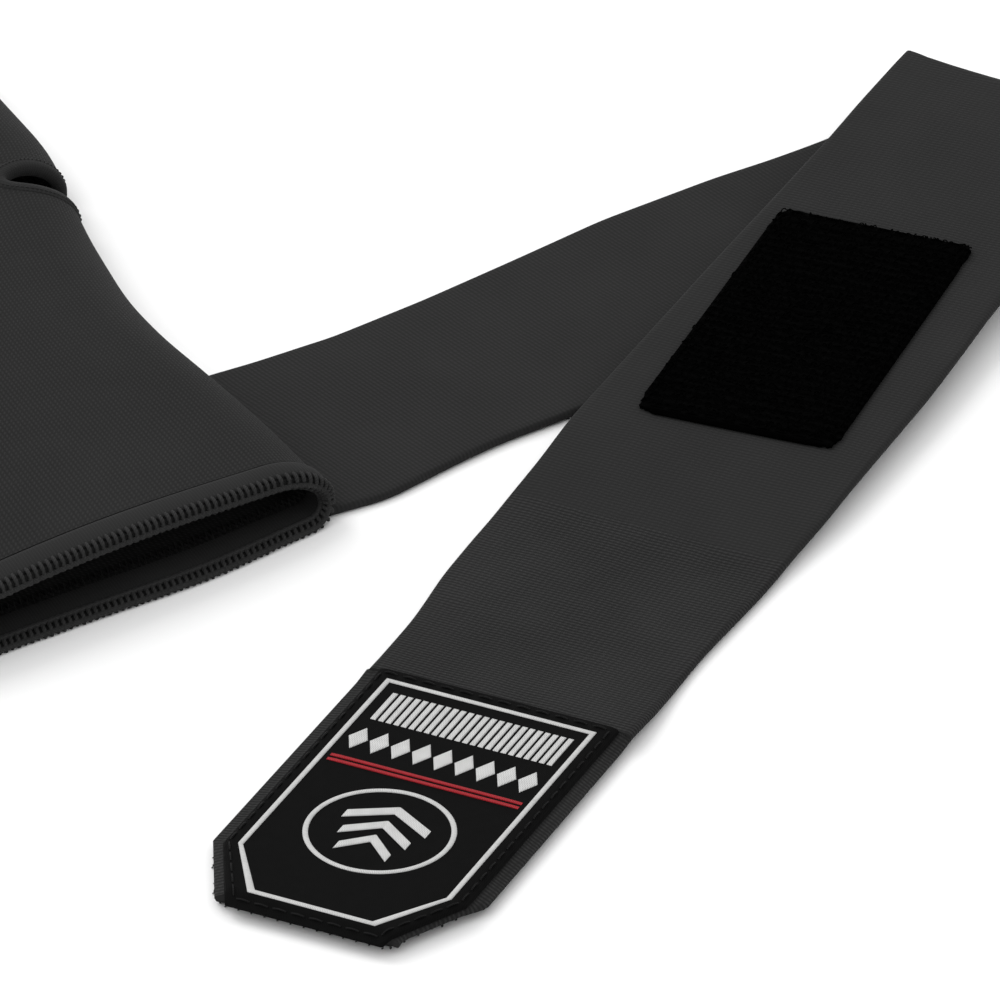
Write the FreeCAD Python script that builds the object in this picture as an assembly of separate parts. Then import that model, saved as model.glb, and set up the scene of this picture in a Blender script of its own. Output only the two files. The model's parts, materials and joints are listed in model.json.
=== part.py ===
import FreeCAD, Part
import math
import os

# A quick hand wrap: a fingerless elastic glove with a long wrist strap.
# Frame: +Y from the cuff to the fingers, +X to the thumb side, +Z up.
# The origin is the middle of the palm's underside, and the wrap lies on z = 0.
# Units are millimetres and degrees.

V = FreeCAD.Vector
os.makedirs("parts", exist_ok=True)

# ---- driving dimensions: the glove ----
glove_length = 170.0          # cuff edge to finger edge, on the centre line
cuff_half_width = 44.6
waist_half_width = 38.8       # narrowest, just above the wrist
knuckle_half_width = 47.2
cuff_height = 12.0            # top of the open mouth above the table
back_height = 13.5
finger_height = 11.5
fabric_thickness = 1.6
side_seam_height = 4.0
cuff_skew = 12.0              # the cuff edge is cut at this angle
top_corner_reach = 11.0       # width of the rounded shoulder of the back panel
top_crown = 1.8               # how much the back panel rises to its middle
palm_corner_reach = 5.0
cuff_hem_depth = 7.0
palm_lip_reach = 1.5          # the palm's cuff edge lies this far ahead of the back's
finger_hem_depth = 6.0
hem_extra = 0.4               # a folded hem is this much thicker
overlock_depth = 2.6
palm_trim = 0.15              # the palm is drawn this much low and cut flat at the table
side_seam_width = 1.5
body_gap = 0.3                # clearance between pieces on different bodies

# ---- driving dimensions: thumb hole, fingers and knuckle pad ----
thumb_hole_radius = 10.5
thumb_hole_y = 33.0
thumb_hole_depth = 15.0       # how far it reaches in from the glove's side
thumb_hem_width = 3.0
finger_pitch = 23.0
divider_thickness = 2.0
divider_length = 16.0
divider_clearance = 0.6
pad_width = 76.0
pad_length = 31.0
pad_front_margin = 6.5        # finger edge to the pad
pad_height = 4.5
pad_cover_thickness = 0.9
pad_corner_radius = 8.0
pad_seam_width = 2.5

# ---- driving dimensions: the strap ----
strap_thickness = 1.6
lower_width = 45.0
upper_width = 50.0
end_taper = 2.2               # the strap's right edge draws in this much by the tab
lower_angle = 12.0            # direction of the lower run, from +X
upper_angle = 38.85           # direction of the upper run, from +X
lower_length = 160.5          # root hinge to the loop
root_reach = 7.4              # cuff side to the root hinge
root_back = 35.8              # cuff edge to the middle of the strap root
hinge_gap = 0.4               # bare hinge line on each side of a strap hinge
loop_radius = 4.0             # outer radius of the loop that turns the strap
loop_side_shift = 5.0         # the upper run leaves the loop this far to its side
upper_length = 165.0          # loop to the strap-end hinge
end_length = 43.0             # strap-end hinge to the tab hinge
crossing_clear = 135.0        # the upper run is above the lower run up to here
crossing_height = 2.4
landing = 158.0               # from here on the upper run lies on the table
tab_rise = 17.0               # length of the rise up to the hook tape
loop_patch_width = 33.0
loop_patch_length = 66.0
loop_patch_start = 52.4
loop_patch_side = -1.6
loop_patch_turn = 3.8         # the patch is sewn slightly askew
loop_patch_thickness = 1.3
patch_corner_radius = 2.5

# ---- driving dimensions: closure tab and woven label ----
label_width = 43.0
label_straight = 56.4
label_point_length = 14.6
label_point_inset = 7.6
label_offset = -0.8           # the label sits this far left of the strap's middle
label_start = 1.8             # tab hinge to the label
label_thickness = 0.6
hook_thickness = 1.6
hook_inset = 0.4
tab_margin_left = 1.2
tab_margin_right = 2.4
tab_margin_tip = 0.3
border_inset = 2.7
border_width = 0.9
thread_height = 0.2
bar_length = 32.8
bar_width = 8.5
bar_inset = 2.6               # border to the striped bar
bar_stripes = 24
bar_stripe_share = 0.62       # width of a stripe as a share of its pitch
lozenge_row_start = 17.4      # label's far edge to the row of lozenges
lozenge_length = 6.6
lozenge_count = 9
double_line_start = 26.5      # label's far edge to the double line
double_line_length = 34.0
double_line_width = 0.7
double_line_gap = 0.6
ring_radius = 12.3
ring_width = 0.9
ring_start = 43.7             # label's far edge to the ring's middle
stitch_width = 0.5
stitch_length = 2.2
stitch_pitch = 3.4
stitch_margin = 0.9           # edge of a sewn piece to its row of thread
tack_start = 1.2              # strap hinge to the first row of bar tacks
tack_spacing = 1.8
chevron_count = 3
chevron_pitch = 4.4
chevron_arm = 7.4             # half width of the first chevron
chevron_narrowing = 1.4       # each next chevron is this much narrower
chevron_sweep = 4.2           # the arms lean back by this
chevron_band = 2.2

# ---- worked out from the driving dimensions ----
cuff_y = -glove_length / 2.0
finger_y = glove_length / 2.0
tab_bottom = hook_thickness
tab_top = hook_thickness + strap_thickness
loop_height = 2.0 * loop_radius
crease_angle = (lower_angle + upper_angle) / 2.0
crease_lean = (upper_angle - lower_angle) / 2.0
skew = math.tan(math.radians(cuff_skew))


def export(name, shape):
    """Writes one named piece, with its number of solids and its volume."""
    solids = shape.Solids
    whole = solids[0] if len(solids) == 1 else Part.makeCompound(solids)
    whole.exportStep("parts/" + name + ".step")
    print(name, len(solids), "solid(s)", round(sum(s.Volume for s in solids), 1), "mm3")


def prism(points, low, high):
    """A straight-sided block over a polygon in plan."""
    corners = [V(x, y, low) for x, y in points]
    face = Part.Face(Part.makePolygon(corners + corners[:1]))
    return face.extrude(V(0, 0, high - low))


def side_profile(points, low, high):
    """A block whose outline is drawn in x and z, from y = low to y = high."""
    corners = [V(x, low, z) for x, z in points]
    face = Part.Face(Part.makePolygon(corners + corners[:1]))
    return face.extrude(V(0, high - low, 0))


def rounded_plate(x0, x1, y0, y1, radius, low, high):
    """A rectangular plate with rounded corners."""
    plate = Part.makeBox(x1 - x0, y1 - y0, high - low, V(x0, y0, low))
    upright = [e for e in plate.Edges if abs(e.tangentAt(e.FirstParameter).z) > 0.9]
    return plate.makeFillet(radius, upright)


def placed(shape, x, y, angle):
    """The shape turned about Z and moved to a point on the table."""
    copy = shape.copy()
    copy.Placement = FreeCAD.Placement(V(x, y, 0), FreeCAD.Rotation(V(0, 0, 1), angle))
    return copy


# ---- the glove's sections ----
wide = glove_length           # larger than any piece of the glove
above_table = Part.makeBox(4 * wide, 4 * wide, wide, V(-2 * wide, -2 * wide, 0))
lip_share = 0.12              # the cuff's slant and reach fade over these shares of the length
narrowing_share = 0.25
waist_share = 0.46
widening_share = 0.6
knuckle_share = 0.77
fullest_share = 0.9
stations = [0.0, lip_share, narrowing_share, waist_share, widening_share, knuckle_share,
            fullest_share, 1.0]


def half_width_at(share):
    """Half width along the glove: in from the cuff to the waist, out to the knuckles."""
    stops = [(0.0, cuff_half_width),
             (narrowing_share, (cuff_half_width * 2 + waist_half_width) / 3),
             (waist_share, waist_half_width),
             (widening_share, (waist_half_width * 2 + knuckle_half_width) / 3),
             (knuckle_share, knuckle_half_width),
             (1.0, knuckle_half_width)]
    for (s0, w0), (s1, w1) in zip(stops, stops[1:]):
        if share <= s1:
            return w0 + (w1 - w0) * (share - s0) / (s1 - s0)
    return knuckle_half_width


def top_at(share):
    """Height of the back panel along the glove."""
    rise = math.sin(math.pi * min(share / fullest_share, 1.0)) * (back_height - cuff_height)
    return cuff_height + rise + (finger_height - cuff_height) * share


def station_y(share, x, reach=0.0):
    """The sections start parallel to the slanted cuff and straighten by the waist."""
    lean = skew * max(0.0, 1.0 - share / waist_share)
    forward = reach * max(0.0, 1.0 - share / lip_share)
    return cuff_y + glove_length * share + lean * x - forward


def arc(a, b, c):
    return Part.Arc(a, b, c).toShape()


def back_arch(share, offset, base):
    """Three arcs: a shoulder, the crowned top and the other shoulder."""
    half = half_width_at(share) + offset
    top = top_at(share) + offset
    inner = half_width_at(share) - top_corner_reach
    edge = top - top_crown
    mid = half - (half - inner) * (1.0 - math.cos(math.radians(45)))
    mid_z = base + (edge - base) * math.sin(math.radians(45))

    def p(x, z):
        return V(x, station_y(share, x), z)

    return [arc(p(-half, base), p(-mid, mid_z), p(-inner, edge)),
            arc(p(-inner, edge), p(0, top), p(inner, edge)),
            arc(p(inner, edge), p(mid, mid_z), p(half, base))]


def palm_trough(share, offset, rim, drop=0.0):
    """The flat palm with its two rounded lower corners, up to the side seam."""
    half = half_width_at(share) - offset
    inner = half_width_at(share) - palm_corner_reach
    floor = offset - drop
    mid = inner + (half - inner) * math.sin(math.radians(45))
    mid_z = rim - (rim - floor) * math.sin(math.radians(45))

    def p(x, z):
        return V(x, station_y(share, x, palm_lip_reach), z)

    return [arc(p(-half, rim), p(-mid, mid_z), p(-inner, floor)),
            Part.makeLine(p(-inner, floor), p(inner, floor)),
            arc(p(inner, floor), p(mid, mid_z), p(half, rim))]


def closed_wire(edges, back_edges=None):
    """Joins a run of edges, and its inner run where there is one, with straight ends."""
    start = edges[0].Vertexes[0].Point
    end = edges[-1].Vertexes[-1].Point
    if back_edges is None:
        return Part.Wire(edges + [Part.makeLine(end, start)])
    inner_start = back_edges[0].Vertexes[0].Point
    inner_end = back_edges[-1].Vertexes[-1].Point
    closing = [Part.makeLine(end, inner_end)] + back_edges[::-1]
    return Part.Wire(edges + closing + [Part.makeLine(inner_start, start)])


def back_shell(outer, inner):
    """The wall of the back panel between two offsets from its outer face."""
    base = side_seam_height + body_gap / 2.0
    wires = [closed_wire(back_arch(s, outer, base), back_arch(s, inner, base)) for s in stations]
    return Part.makeLoft(wires, True, False)


def back_fill(offset):
    """Everything under the back panel's outer face moved out by an offset."""
    wires = [closed_wire(back_arch(s, offset, side_seam_height + body_gap / 2.0)) for s in stations]
    return Part.makeLoft(wires, True, False)


def palm_shell(outer, inner):
    """The wall of the palm panel between two offsets from its outer face."""
    rim = side_seam_height - body_gap / 2.0
    wires = [closed_wire(palm_trough(s, outer, rim, palm_trim), palm_trough(s, inner, rim))
             for s in stations]
    return Part.makeLoft(wires, True, False).common(above_table)


def palm_fill():
    """The palm panel with its hollow filled in."""
    rim = side_seam_height - body_gap / 2.0
    wires = [closed_wire(palm_trough(s, 0.0, rim, palm_trim)) for s in stations]
    return Part.makeLoft(wires, True, False).common(above_table)


def before_line(y, lean):
    """The space on the cuff side of a line that crosses the glove at y."""
    return prism([(-wide, y - wide * lean), (wide, y + wide * lean),
                  (wide, y - 2 * wide), (-wide, y - 2 * wide)], -wide, wide)


back_cuff_zone = before_line(cuff_y + cuff_hem_depth, skew)
back_lip_zone = before_line(cuff_y + overlock_depth, skew)
palm_cuff_zone = before_line(cuff_y - palm_lip_reach + cuff_hem_depth, skew)
palm_lip_zone = before_line(cuff_y - palm_lip_reach + overlock_depth, skew)
finger_zone = Part.makeBox(2 * wide, wide, 2 * wide, V(-wide, finger_y - finger_hem_depth, -wide))


def thumb_opening(extra):
    """A slot with a round inner end, open to the thumb side."""
    radius = thumb_hole_radius + extra
    centre_x = knuckle_half_width - thumb_hole_depth + thumb_hole_radius
    tall = 3 * back_height
    round_end = Part.makeCylinder(radius, tall, V(centre_x, thumb_hole_y, -back_height))
    channel = Part.makeBox(wide, 2 * radius, tall, V(centre_x, thumb_hole_y - radius, -back_height))
    return round_end.fuse(channel).removeSplitter()


thumb_cut = thumb_opening(0.0)
thumb_ring = thumb_opening(thumb_hem_width).cut(thumb_cut)
back_hem_zones = back_cuff_zone.fuse(finger_zone)
palm_hem_zones = palm_cuff_zone.fuse(finger_zone)


# ---- the back of the glove ----
def make_back():
    """Back panel with its cuff hem, overlocked lip, thumb hem and finger hem."""
    plain = back_shell(0.0, -fabric_thickness).cut(thumb_cut)
    thick = back_shell(hem_extra, -fabric_thickness).cut(thumb_cut)
    export("back_panel", plain.cut(back_hem_zones).cut(thumb_ring))
    export("back_cuff_hem", thick.common(back_cuff_zone).cut(back_lip_zone))
    export("back_cuff_overlock", thick.common(back_lip_zone))
    export("back_finger_hem", thick.common(finger_zone))
    export("back_thumb_hem", thick.common(thumb_ring).cut(back_hem_zones))


# ---- the palm of the glove ----
def make_palm():
    """Palm panel, its hems and the side seams that carry the back panel's edge."""
    plain = palm_shell(0.0, fabric_thickness).cut(thumb_cut)
    thick = palm_shell(0.0, fabric_thickness + hem_extra).cut(thumb_cut)
    seam_low = side_seam_height - side_seam_width
    seam_zone = Part.makeBox(2 * wide, 4 * wide, wide, V(-wide, -2 * wide, seam_low))
    body = plain.cut(palm_hem_zones).cut(thumb_ring)
    export("palm_panel", body.cut(seam_zone))
    seams = body.common(seam_zone).Solids
    export("side_seam_little_finger", Part.makeCompound([s for s in seams if s.CenterOfMass.x < 0]))
    export("side_seam_thumb", Part.makeCompound([s for s in seams if s.CenterOfMass.x > 0]))
    export("palm_cuff_hem", thick.common(palm_cuff_zone).cut(palm_lip_zone))
    export("palm_cuff_overlock", thick.common(palm_lip_zone))
    export("palm_finger_hem", thick.common(finger_zone))
    export("palm_thumb_hem", thick.common(thumb_ring).cut(palm_hem_zones))


def make_finger_dividers():
    """Three webs that part the four finger holes, sewn to the palm."""
    room = back_fill(-fabric_thickness - divider_clearance)
    floor = fabric_thickness + hem_extra
    low_part = Part.makeBox(wide, wide, side_seam_height - floor + body_gap, V(-wide / 2, 0, floor))
    space = room.fuse(low_part)
    for number, step in enumerate((-1, 0, 1), start=1):
        x = step * finger_pitch - divider_thickness / 2.0
        web = Part.makeBox(divider_thickness, divider_length, back_height,
                           V(x, finger_y - divider_length, floor))
        foot = Part.makeBox(divider_thickness, divider_length - finger_hem_depth, hem_extra,
                            V(x, finger_y - divider_length, fabric_thickness))
        export("finger_divider_%d" % number, web.common(space).fuse(foot).removeSplitter())


# ---- the knuckle pad ----
def make_knuckle_pad():
    """A gel slab under a stretched cover, with a flat sewn edge all round."""
    front = finger_y - pad_front_margin
    back = front - pad_length
    half = pad_width / 2.0
    tall = 4 * back_height
    outline = rounded_plate(-half, half, back, front, pad_corner_radius, 0, tall)
    inset = pad_seam_width + pad_cover_thickness
    core = rounded_plate(-half + inset, half - inset, back + inset, front - inset,
                         pad_corner_radius - inset, 0, tall)
    rim_inner = rounded_plate(-half + pad_seam_width, half - pad_seam_width,
                              back + pad_seam_width, front - pad_seam_width,
                              pad_corner_radius - pad_seam_width, 0, tall)
    surface = back_fill(0.0)
    gel_top = back_fill(pad_height - pad_cover_thickness)
    gel = gel_top.common(core).cut(surface)
    dome = back_fill(pad_height).common(rim_inner).cut(surface)
    seam = back_fill(pad_cover_thickness).common(outline.cut(rim_inner)).cut(surface)
    export("gel_pad", gel)
    export("knuckle_pad_cover", dome.cut(gel))
    export("knuckle_pad_seam", seam)


# ---- the strap: lower run and loop ----
root_x = cuff_half_width + root_reach
root_y = cuff_y + root_back
axis_x = math.cos(math.radians(lower_angle))
axis_y = math.sin(math.radians(lower_angle))
loop_x = root_x + lower_length * axis_x
loop_y = root_y + lower_length * axis_y
upper_x = loop_x - loop_side_shift * math.sin(math.radians(crease_angle))
upper_y = loop_y + loop_side_shift * math.cos(math.radians(crease_angle))
crease_slope = math.tan(math.radians(crease_lean))


def make_strap_root():
    """The strap's sewn end, outside the thumb side of the cuff, and its bar tacks."""
    half = lower_width / 2.0
    reach = root_reach + cuff_half_width / 4.0
    tongue = prism([(-reach, -half), (-hinge_gap, -half), (-hinge_gap, half), (-reach, half)],
                   0.0, strap_thickness)
    tongue = placed(tongue, root_x, root_y, lower_angle).cut(palm_fill())
    export("strap_root", max(tongue.Solids, key=lambda s: s.CenterOfMass.x))
    tacks = []
    count = int((lower_width - 2 * stitch_pitch) / stitch_pitch)
    for row in (0, 1):
        for number in range(count + 1):
            y = (number - count / 2.0) * stitch_pitch
            x = -hinge_gap - tack_start - row * tack_spacing - stitch_width
            tacks.append(Part.makeBox(stitch_width, stitch_length, thread_height,
                                      V(x, y - stitch_length / 2.0, strap_thickness)))
    export("strap_root_stitching", placed(Part.makeCompound(tacks), root_x, root_y, lower_angle))


def make_lower_run():
    """The lower run, flat on the table, and the loop that turns it over."""
    half = lower_width / 2.0
    slant = half * crease_slope
    run = prism([(hinge_gap, -half), (lower_length + slant, -half),
                 (lower_length - slant, half), (hinge_gap, half)], 0.0, strap_thickness)
    export("strap_lower_run", placed(run, root_x, root_y, lower_angle))
    inside = loop_radius - strap_thickness
    span = upper_width
    tube = Part.makeCylinder(loop_radius, span, V(0, -span / 2.0, loop_radius), V(0, 1, 0))
    hole = Part.makeCylinder(inside, span, V(0, -span / 2.0, loop_radius), V(0, 1, 0))
    outer_half = Part.makeBox(loop_height, 2 * span, 2 * loop_height, V(0, -span, -loop_radius))
    loop = tube.cut(hole).common(outer_half)
    middle_x = (loop_x + upper_x) / 2.0
    middle_y = (loop_y + upper_y) / 2.0
    export("strap_loop", placed(loop, middle_x, middle_y, crease_angle))


def on_upper(shape):
    """Places a piece drawn along the upper run: x towards the tip, y to its right."""
    return placed(shape, upper_x, upper_y, 180.0 + upper_angle)


def right_edge(x):
    """The upper run's right edge, which draws in from the crossing to the tab."""
    share = (x - crossing_clear) / (upper_length + end_length - crossing_clear)
    return upper_width / 2.0 - end_taper * min(max(share, 0.0), 1.0)


def beyond_right_edge():
    """The space to the right of the strap's tapering edge."""
    x1 = upper_length + end_length
    return prism([(-wide, right_edge(0.0)), (crossing_clear, right_edge(0.0)), (x1, right_edge(x1)),
                  (x1, wide), (-wide, wide)], -wide, wide)


def upper_bottom(x):
    """Height of the upper run's underside, x from the loop."""
    start = loop_height - strap_thickness
    knots = [(-upper_width, start), (0.0, start), (crossing_clear, crossing_height),
             (landing, 0.0), (upper_length + end_length, 0.0)]
    for (x0, z0), (x1, z1) in zip(knots, knots[1:]):
        if x <= x1:
            return z0 + (z1 - z0) * (x - x0) / (x1 - x0)
    return 0.0


def make_upper_run():
    """The upper run, from the loop down to the table, and its loop-pile patch."""
    half = upper_width / 2.0
    slant = half * crease_slope
    stops = [-slant - loop_radius, 0.0, crossing_clear, landing, upper_length - hinge_gap]
    low = [(x, upper_bottom(x)) for x in stops]
    high = [(x, z + strap_thickness) for x, z in low[::-1]]
    ribbon = side_profile(low + high, -half, half)
    past_loop = prism([(-slant + hinge_gap, -half), (slant + hinge_gap, half),
                       (-wide, half), (-wide, -half)], -wide, wide)
    run = ribbon.cut(past_loop).cut(beyond_right_edge())
    export("strap_upper_run", on_upper(run))
    x0 = loop_patch_start
    x1 = x0 + loop_patch_length
    y0 = loop_patch_side - loop_patch_width / 2.0
    y1 = y0 + loop_patch_width
    plan = rounded_plate(x0, x1, y0, y1, patch_corner_radius, -wide, wide)
    middle = V((x0 + x1) / 2.0, loop_patch_side, 0)
    plan.rotate(middle, V(0, 0, 1), loop_patch_turn)
    skin = side_profile([(x, z + strap_thickness) for x, z in low]
                        + [(x, z + strap_thickness + loop_patch_thickness) for x, z in low[::-1]],
                        -half, half)
    export("loop_patch", on_upper(skin.common(plan)))
    thread = side_profile([(x, z + strap_thickness) for x, z in low]
                          + [(x, z + strap_thickness + thread_height) for x, z in low[::-1]],
                          -half, half)
    stitches = stitch_ring(x0 - stitch_margin, x1 + stitch_margin,
                           y0 - stitch_margin, y1 + stitch_margin, -wide, wide)
    stitches.rotate(middle, V(0, 0, 1), loop_patch_turn)
    export("loop_patch_stitching", on_upper(thread.common(stitches)))


def stitch_ring(x0, x1, y0, y1, low, high):
    """Short thread bars along the four sides of a rectangle."""
    bars = []
    for y in (y0, y1):
        count = int((x1 - x0) / stitch_pitch)
        step = (x1 - x0) / count
        for number in range(count):
            x = x0 + (number + 0.5) * step
            bars.append(Part.makeBox(stitch_length, stitch_width, high - low,
                                     V(x - stitch_length / 2.0, y - stitch_width / 2.0, low)))
    for x in (x0, x1):
        count = int((y1 - y0) / stitch_pitch)
        step = (y1 - y0) / count
        for number in range(count):
            y = y0 + (number + 0.5) * step
            bars.append(Part.makeBox(stitch_width, stitch_length, high - low,
                                     V(x - stitch_width / 2.0, y - stitch_length / 2.0, low)))
    return Part.makeCompound(bars)


def make_strap_end():
    """The last stretch of strap, which lies flat and rises to the closure tab."""
    half = upper_width / 2.0
    x0 = upper_length + hinge_gap
    x2 = upper_length + end_length - hinge_gap
    x1 = x2 - tab_rise
    low = [(x0, 0.0), (x1, 0.0), (x2, tab_bottom)]
    high = [(x, z + strap_thickness) for x, z in low[::-1]]
    ribbon = side_profile(low + high, -half, half).cut(beyond_right_edge())
    export("strap_end_run", on_upper(ribbon))


# ---- the closure tab ----
tab_x = upper_length + end_length


def shield(left, right, start, tip, straight):
    """The label's outline: straight sides, then a blunt point."""
    return [(start, left), (start, right), (straight, right),
            (tip, right - label_point_inset), (tip, left + label_point_inset), (straight, left)]


def label_outline(inset):
    """The label's outline moved in by an inset."""
    left = label_offset - label_width / 2.0 + inset
    right = label_offset + label_width / 2.0 - inset
    start = tab_x + label_start + inset
    straight = tab_x + label_start + label_straight
    tip = tab_x + label_start + label_straight + label_point_length - inset
    return shield(left, right, start, tip, straight)


def make_closure_tab():
    """The shaped strap end with hook tape under it and its sewing."""
    left = label_offset - label_width / 2.0 - tab_margin_left
    right = label_offset + label_width / 2.0 + tab_margin_right
    straight = tab_x + label_start + label_straight
    tip = straight + label_point_length + tab_margin_tip
    outline = shield(left, right, tab_x + hinge_gap, tip, straight)
    export("closure_tab", on_upper(prism(outline, tab_bottom, tab_top)))
    hook = shield(left + hook_inset, right - tab_margin_right + hook_inset,
                  tab_x + hinge_gap + hook_inset, tip - hook_inset, straight)
    export("hook_tape", on_upper(prism(hook, 0.0, hook_thickness)))


def make_label():
    """The woven label: ground, border, striped bar, double line and a plain round badge."""
    base = tab_top
    face = base + label_thickness
    export("label", on_upper(prism(label_outline(0.0), base, face)))
    border = prism(label_outline(border_inset), face, face + thread_height)
    border = border.cut(prism(label_outline(border_inset + border_width), face, face + thread_height))
    export("label_border", on_upper(border))
    top = tab_x + label_start + border_inset + border_width + bar_inset
    bars = []
    pitch = bar_length / bar_stripes
    for number in range(bar_stripes):
        y = label_offset - bar_length / 2.0 + number * pitch
        bars.append(Part.makeBox(bar_width, pitch * bar_stripe_share, thread_height, V(top, y, face)))
    export("label_striped_bar", on_upper(Part.makeCompound(bars)))
    lozenges = []
    pitch = double_line_length / lozenge_count
    x = tab_x + label_start + lozenge_row_start
    middle = x + lozenge_length / 2.0
    for number in range(lozenge_count):
        y = label_offset + (number + 0.5) * pitch - double_line_length / 2.0
        reach = pitch / 2.0 - thread_height
        lozenges.append(prism([(x, y), (middle, y + reach), (x + lozenge_length, y),
                               (middle, y - reach)], face, face + thread_height))
    export("label_lozenges", on_upper(Part.makeCompound(lozenges)))
    line_x = tab_x + label_start + double_line_start
    lines = [Part.makeBox(double_line_width, double_line_length, thread_height,
                          V(line_x + k * (double_line_width + double_line_gap),
                            label_offset - double_line_length / 2.0, face)) for k in (0, 1)]
    export("label_double_line", on_upper(Part.makeCompound(lines)))
    centre = V(tab_x + label_start + ring_start, label_offset, face)
    ring = Part.makeCylinder(ring_radius, thread_height, centre)
    ring = ring.cut(Part.makeCylinder(ring_radius - ring_width, thread_height, centre))
    export("label_ring", on_upper(ring))
    chevrons = []
    reach = (chevron_count - 1) * chevron_pitch + chevron_sweep + chevron_band
    for number in range(chevron_count):
        x = centre.x - reach / 2.0 + number * chevron_pitch
        half = chevron_arm - number * chevron_narrowing
        x_out = x + chevron_sweep
        chevrons.append(prism([(x, label_offset), (x_out, label_offset + half),
                               (x_out + chevron_band, label_offset + half),
                               (x + chevron_band, label_offset),
                               (x_out + chevron_band, label_offset - half),
                               (x_out, label_offset - half)], face, face + thread_height))
    export("label_chevrons", on_upper(Part.makeCompound(chevrons)))


def make_tab_stitching():
    """The row of thread that holds label, strap and hook tape together."""
    face = tab_top + label_thickness
    low = face - thread_height
    outer = prism(label_outline(stitch_margin), face, face + thread_height)
    inner = prism(label_outline(stitch_margin + stitch_width), face, face + thread_height)
    start = tab_x + label_start
    length = label_straight + label_point_length
    gap = stitch_pitch - stitch_length
    end_zone = 2.0 * stitch_margin + stitch_width
    gaps = []
    count = int(length / stitch_pitch)
    for number in range(count + 1):
        x = start + number * length / count
        gaps.append(Part.makeBox(gap, 2 * label_width, 1.0, V(x, label_offset - label_width, low)))
    bars = int(label_width / stitch_pitch)
    for number in range(bars + 1):
        y = label_offset - label_width / 2.0 + number * label_width / bars
        for x in (start, start + length - end_zone):
            gaps.append(Part.makeBox(end_zone, gap, 1.0, V(x, y, low)))
    export("label_stitching", on_upper(outer.cut(inner).cut(Part.makeCompound(gaps))))


make_back()
make_palm()
make_finger_dividers()
make_knuckle_pad()
make_strap_root()
make_lower_run()
make_upper_run()
make_strap_end()
make_closure_tab()
make_label()
make_tab_stitching()


def report_hinge(name, x, y, z, angle):
    """Prints a hinge's point and the unit direction of its line."""
    turn = math.radians(angle)
    print("hinge", name, "at", [round(v, 3) for v in (x, y, z)],
          "along", [round(math.cos(turn), 5), round(math.sin(turn), 5), 0.0])


def upper_point(x):
    """A point on the upper run's centre line, in the glove's frame."""
    turn = math.radians(upper_angle)
    return upper_x - x * math.cos(turn), upper_y - x * math.sin(turn)


report_hinge("cuff_opening", 0.0, finger_y, side_seam_height, 180.0)
report_hinge("strap_lift", root_x, root_y, strap_thickness, lower_angle - 90.0)
report_hinge("loop_opening", upper_x, upper_y, loop_height, crease_angle + 90.0)
report_hinge("strap_end_lift", *upper_point(upper_length), strap_thickness, upper_angle + 90.0)
report_hinge("tab_peel", *upper_point(tab_x), tab_top, upper_angle + 90.0)
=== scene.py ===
# %% [markdown]
# A quick hand wrap is a fingerless elastic glove with a long strap sewn to its thumb side. This lesson
# dresses its imported solids as cloth: knit, hems with overlock thread, elastic webbing, loop pile, hook tape
# and a woven label. The solids fix every size, so the first step loads them and reads their joints.

# %% Load the frame
import json
import math

import bmesh
import bpy
import numpy as np
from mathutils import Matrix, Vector


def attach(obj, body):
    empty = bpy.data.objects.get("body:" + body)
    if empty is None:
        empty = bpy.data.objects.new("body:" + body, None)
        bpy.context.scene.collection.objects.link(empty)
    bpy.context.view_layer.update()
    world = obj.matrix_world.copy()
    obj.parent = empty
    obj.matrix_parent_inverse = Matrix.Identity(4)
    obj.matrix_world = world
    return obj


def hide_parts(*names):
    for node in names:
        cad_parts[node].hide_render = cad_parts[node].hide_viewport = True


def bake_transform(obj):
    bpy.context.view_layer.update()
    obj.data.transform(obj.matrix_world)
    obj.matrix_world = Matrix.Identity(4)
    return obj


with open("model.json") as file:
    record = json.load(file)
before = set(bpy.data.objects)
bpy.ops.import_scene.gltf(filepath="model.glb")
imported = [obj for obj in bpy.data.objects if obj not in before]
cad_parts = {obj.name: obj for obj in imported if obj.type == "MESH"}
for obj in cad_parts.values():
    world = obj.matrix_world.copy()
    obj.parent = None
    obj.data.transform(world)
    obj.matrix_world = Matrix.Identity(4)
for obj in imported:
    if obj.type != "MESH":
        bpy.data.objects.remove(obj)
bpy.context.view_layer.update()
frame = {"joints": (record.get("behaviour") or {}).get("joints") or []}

MM = 0.001
rng = np.random.default_rng(7)

# %% [markdown]
# The wrap is shown from above the cuff's edge, through a long lens, as a catalogue shows it. A long lens
# far away keeps the strap's edges nearly parallel. A camera needs a place, a target and a lens, and no
# more.

# %% Camera
camera_data = bpy.data.cameras.new("camera")
camera_data.sensor_width = 36.0
camera_data.lens = 432.0
camera = bpy.data.objects.new("camera", camera_data)
camera.location = (-0.66098, -1.61597, 1.05081)
target = Vector((0.072, -0.082, 0.0))
aim = target - camera.location
camera.rotation_euler = aim.to_track_quat("-Z", "Y").to_euler()
bpy.context.scene.collection.objects.link(camera)
bpy.context.scene.camera = camera
print("camera distance, m:", round(aim.length, 3))

# %% [markdown]
# Dark cloth needs broad, even light, or its weave disappears. A pale sky lights it from all round, one
# large soft panel above and behind gives the strap its slight gloss, and the floor is plain white.

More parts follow.
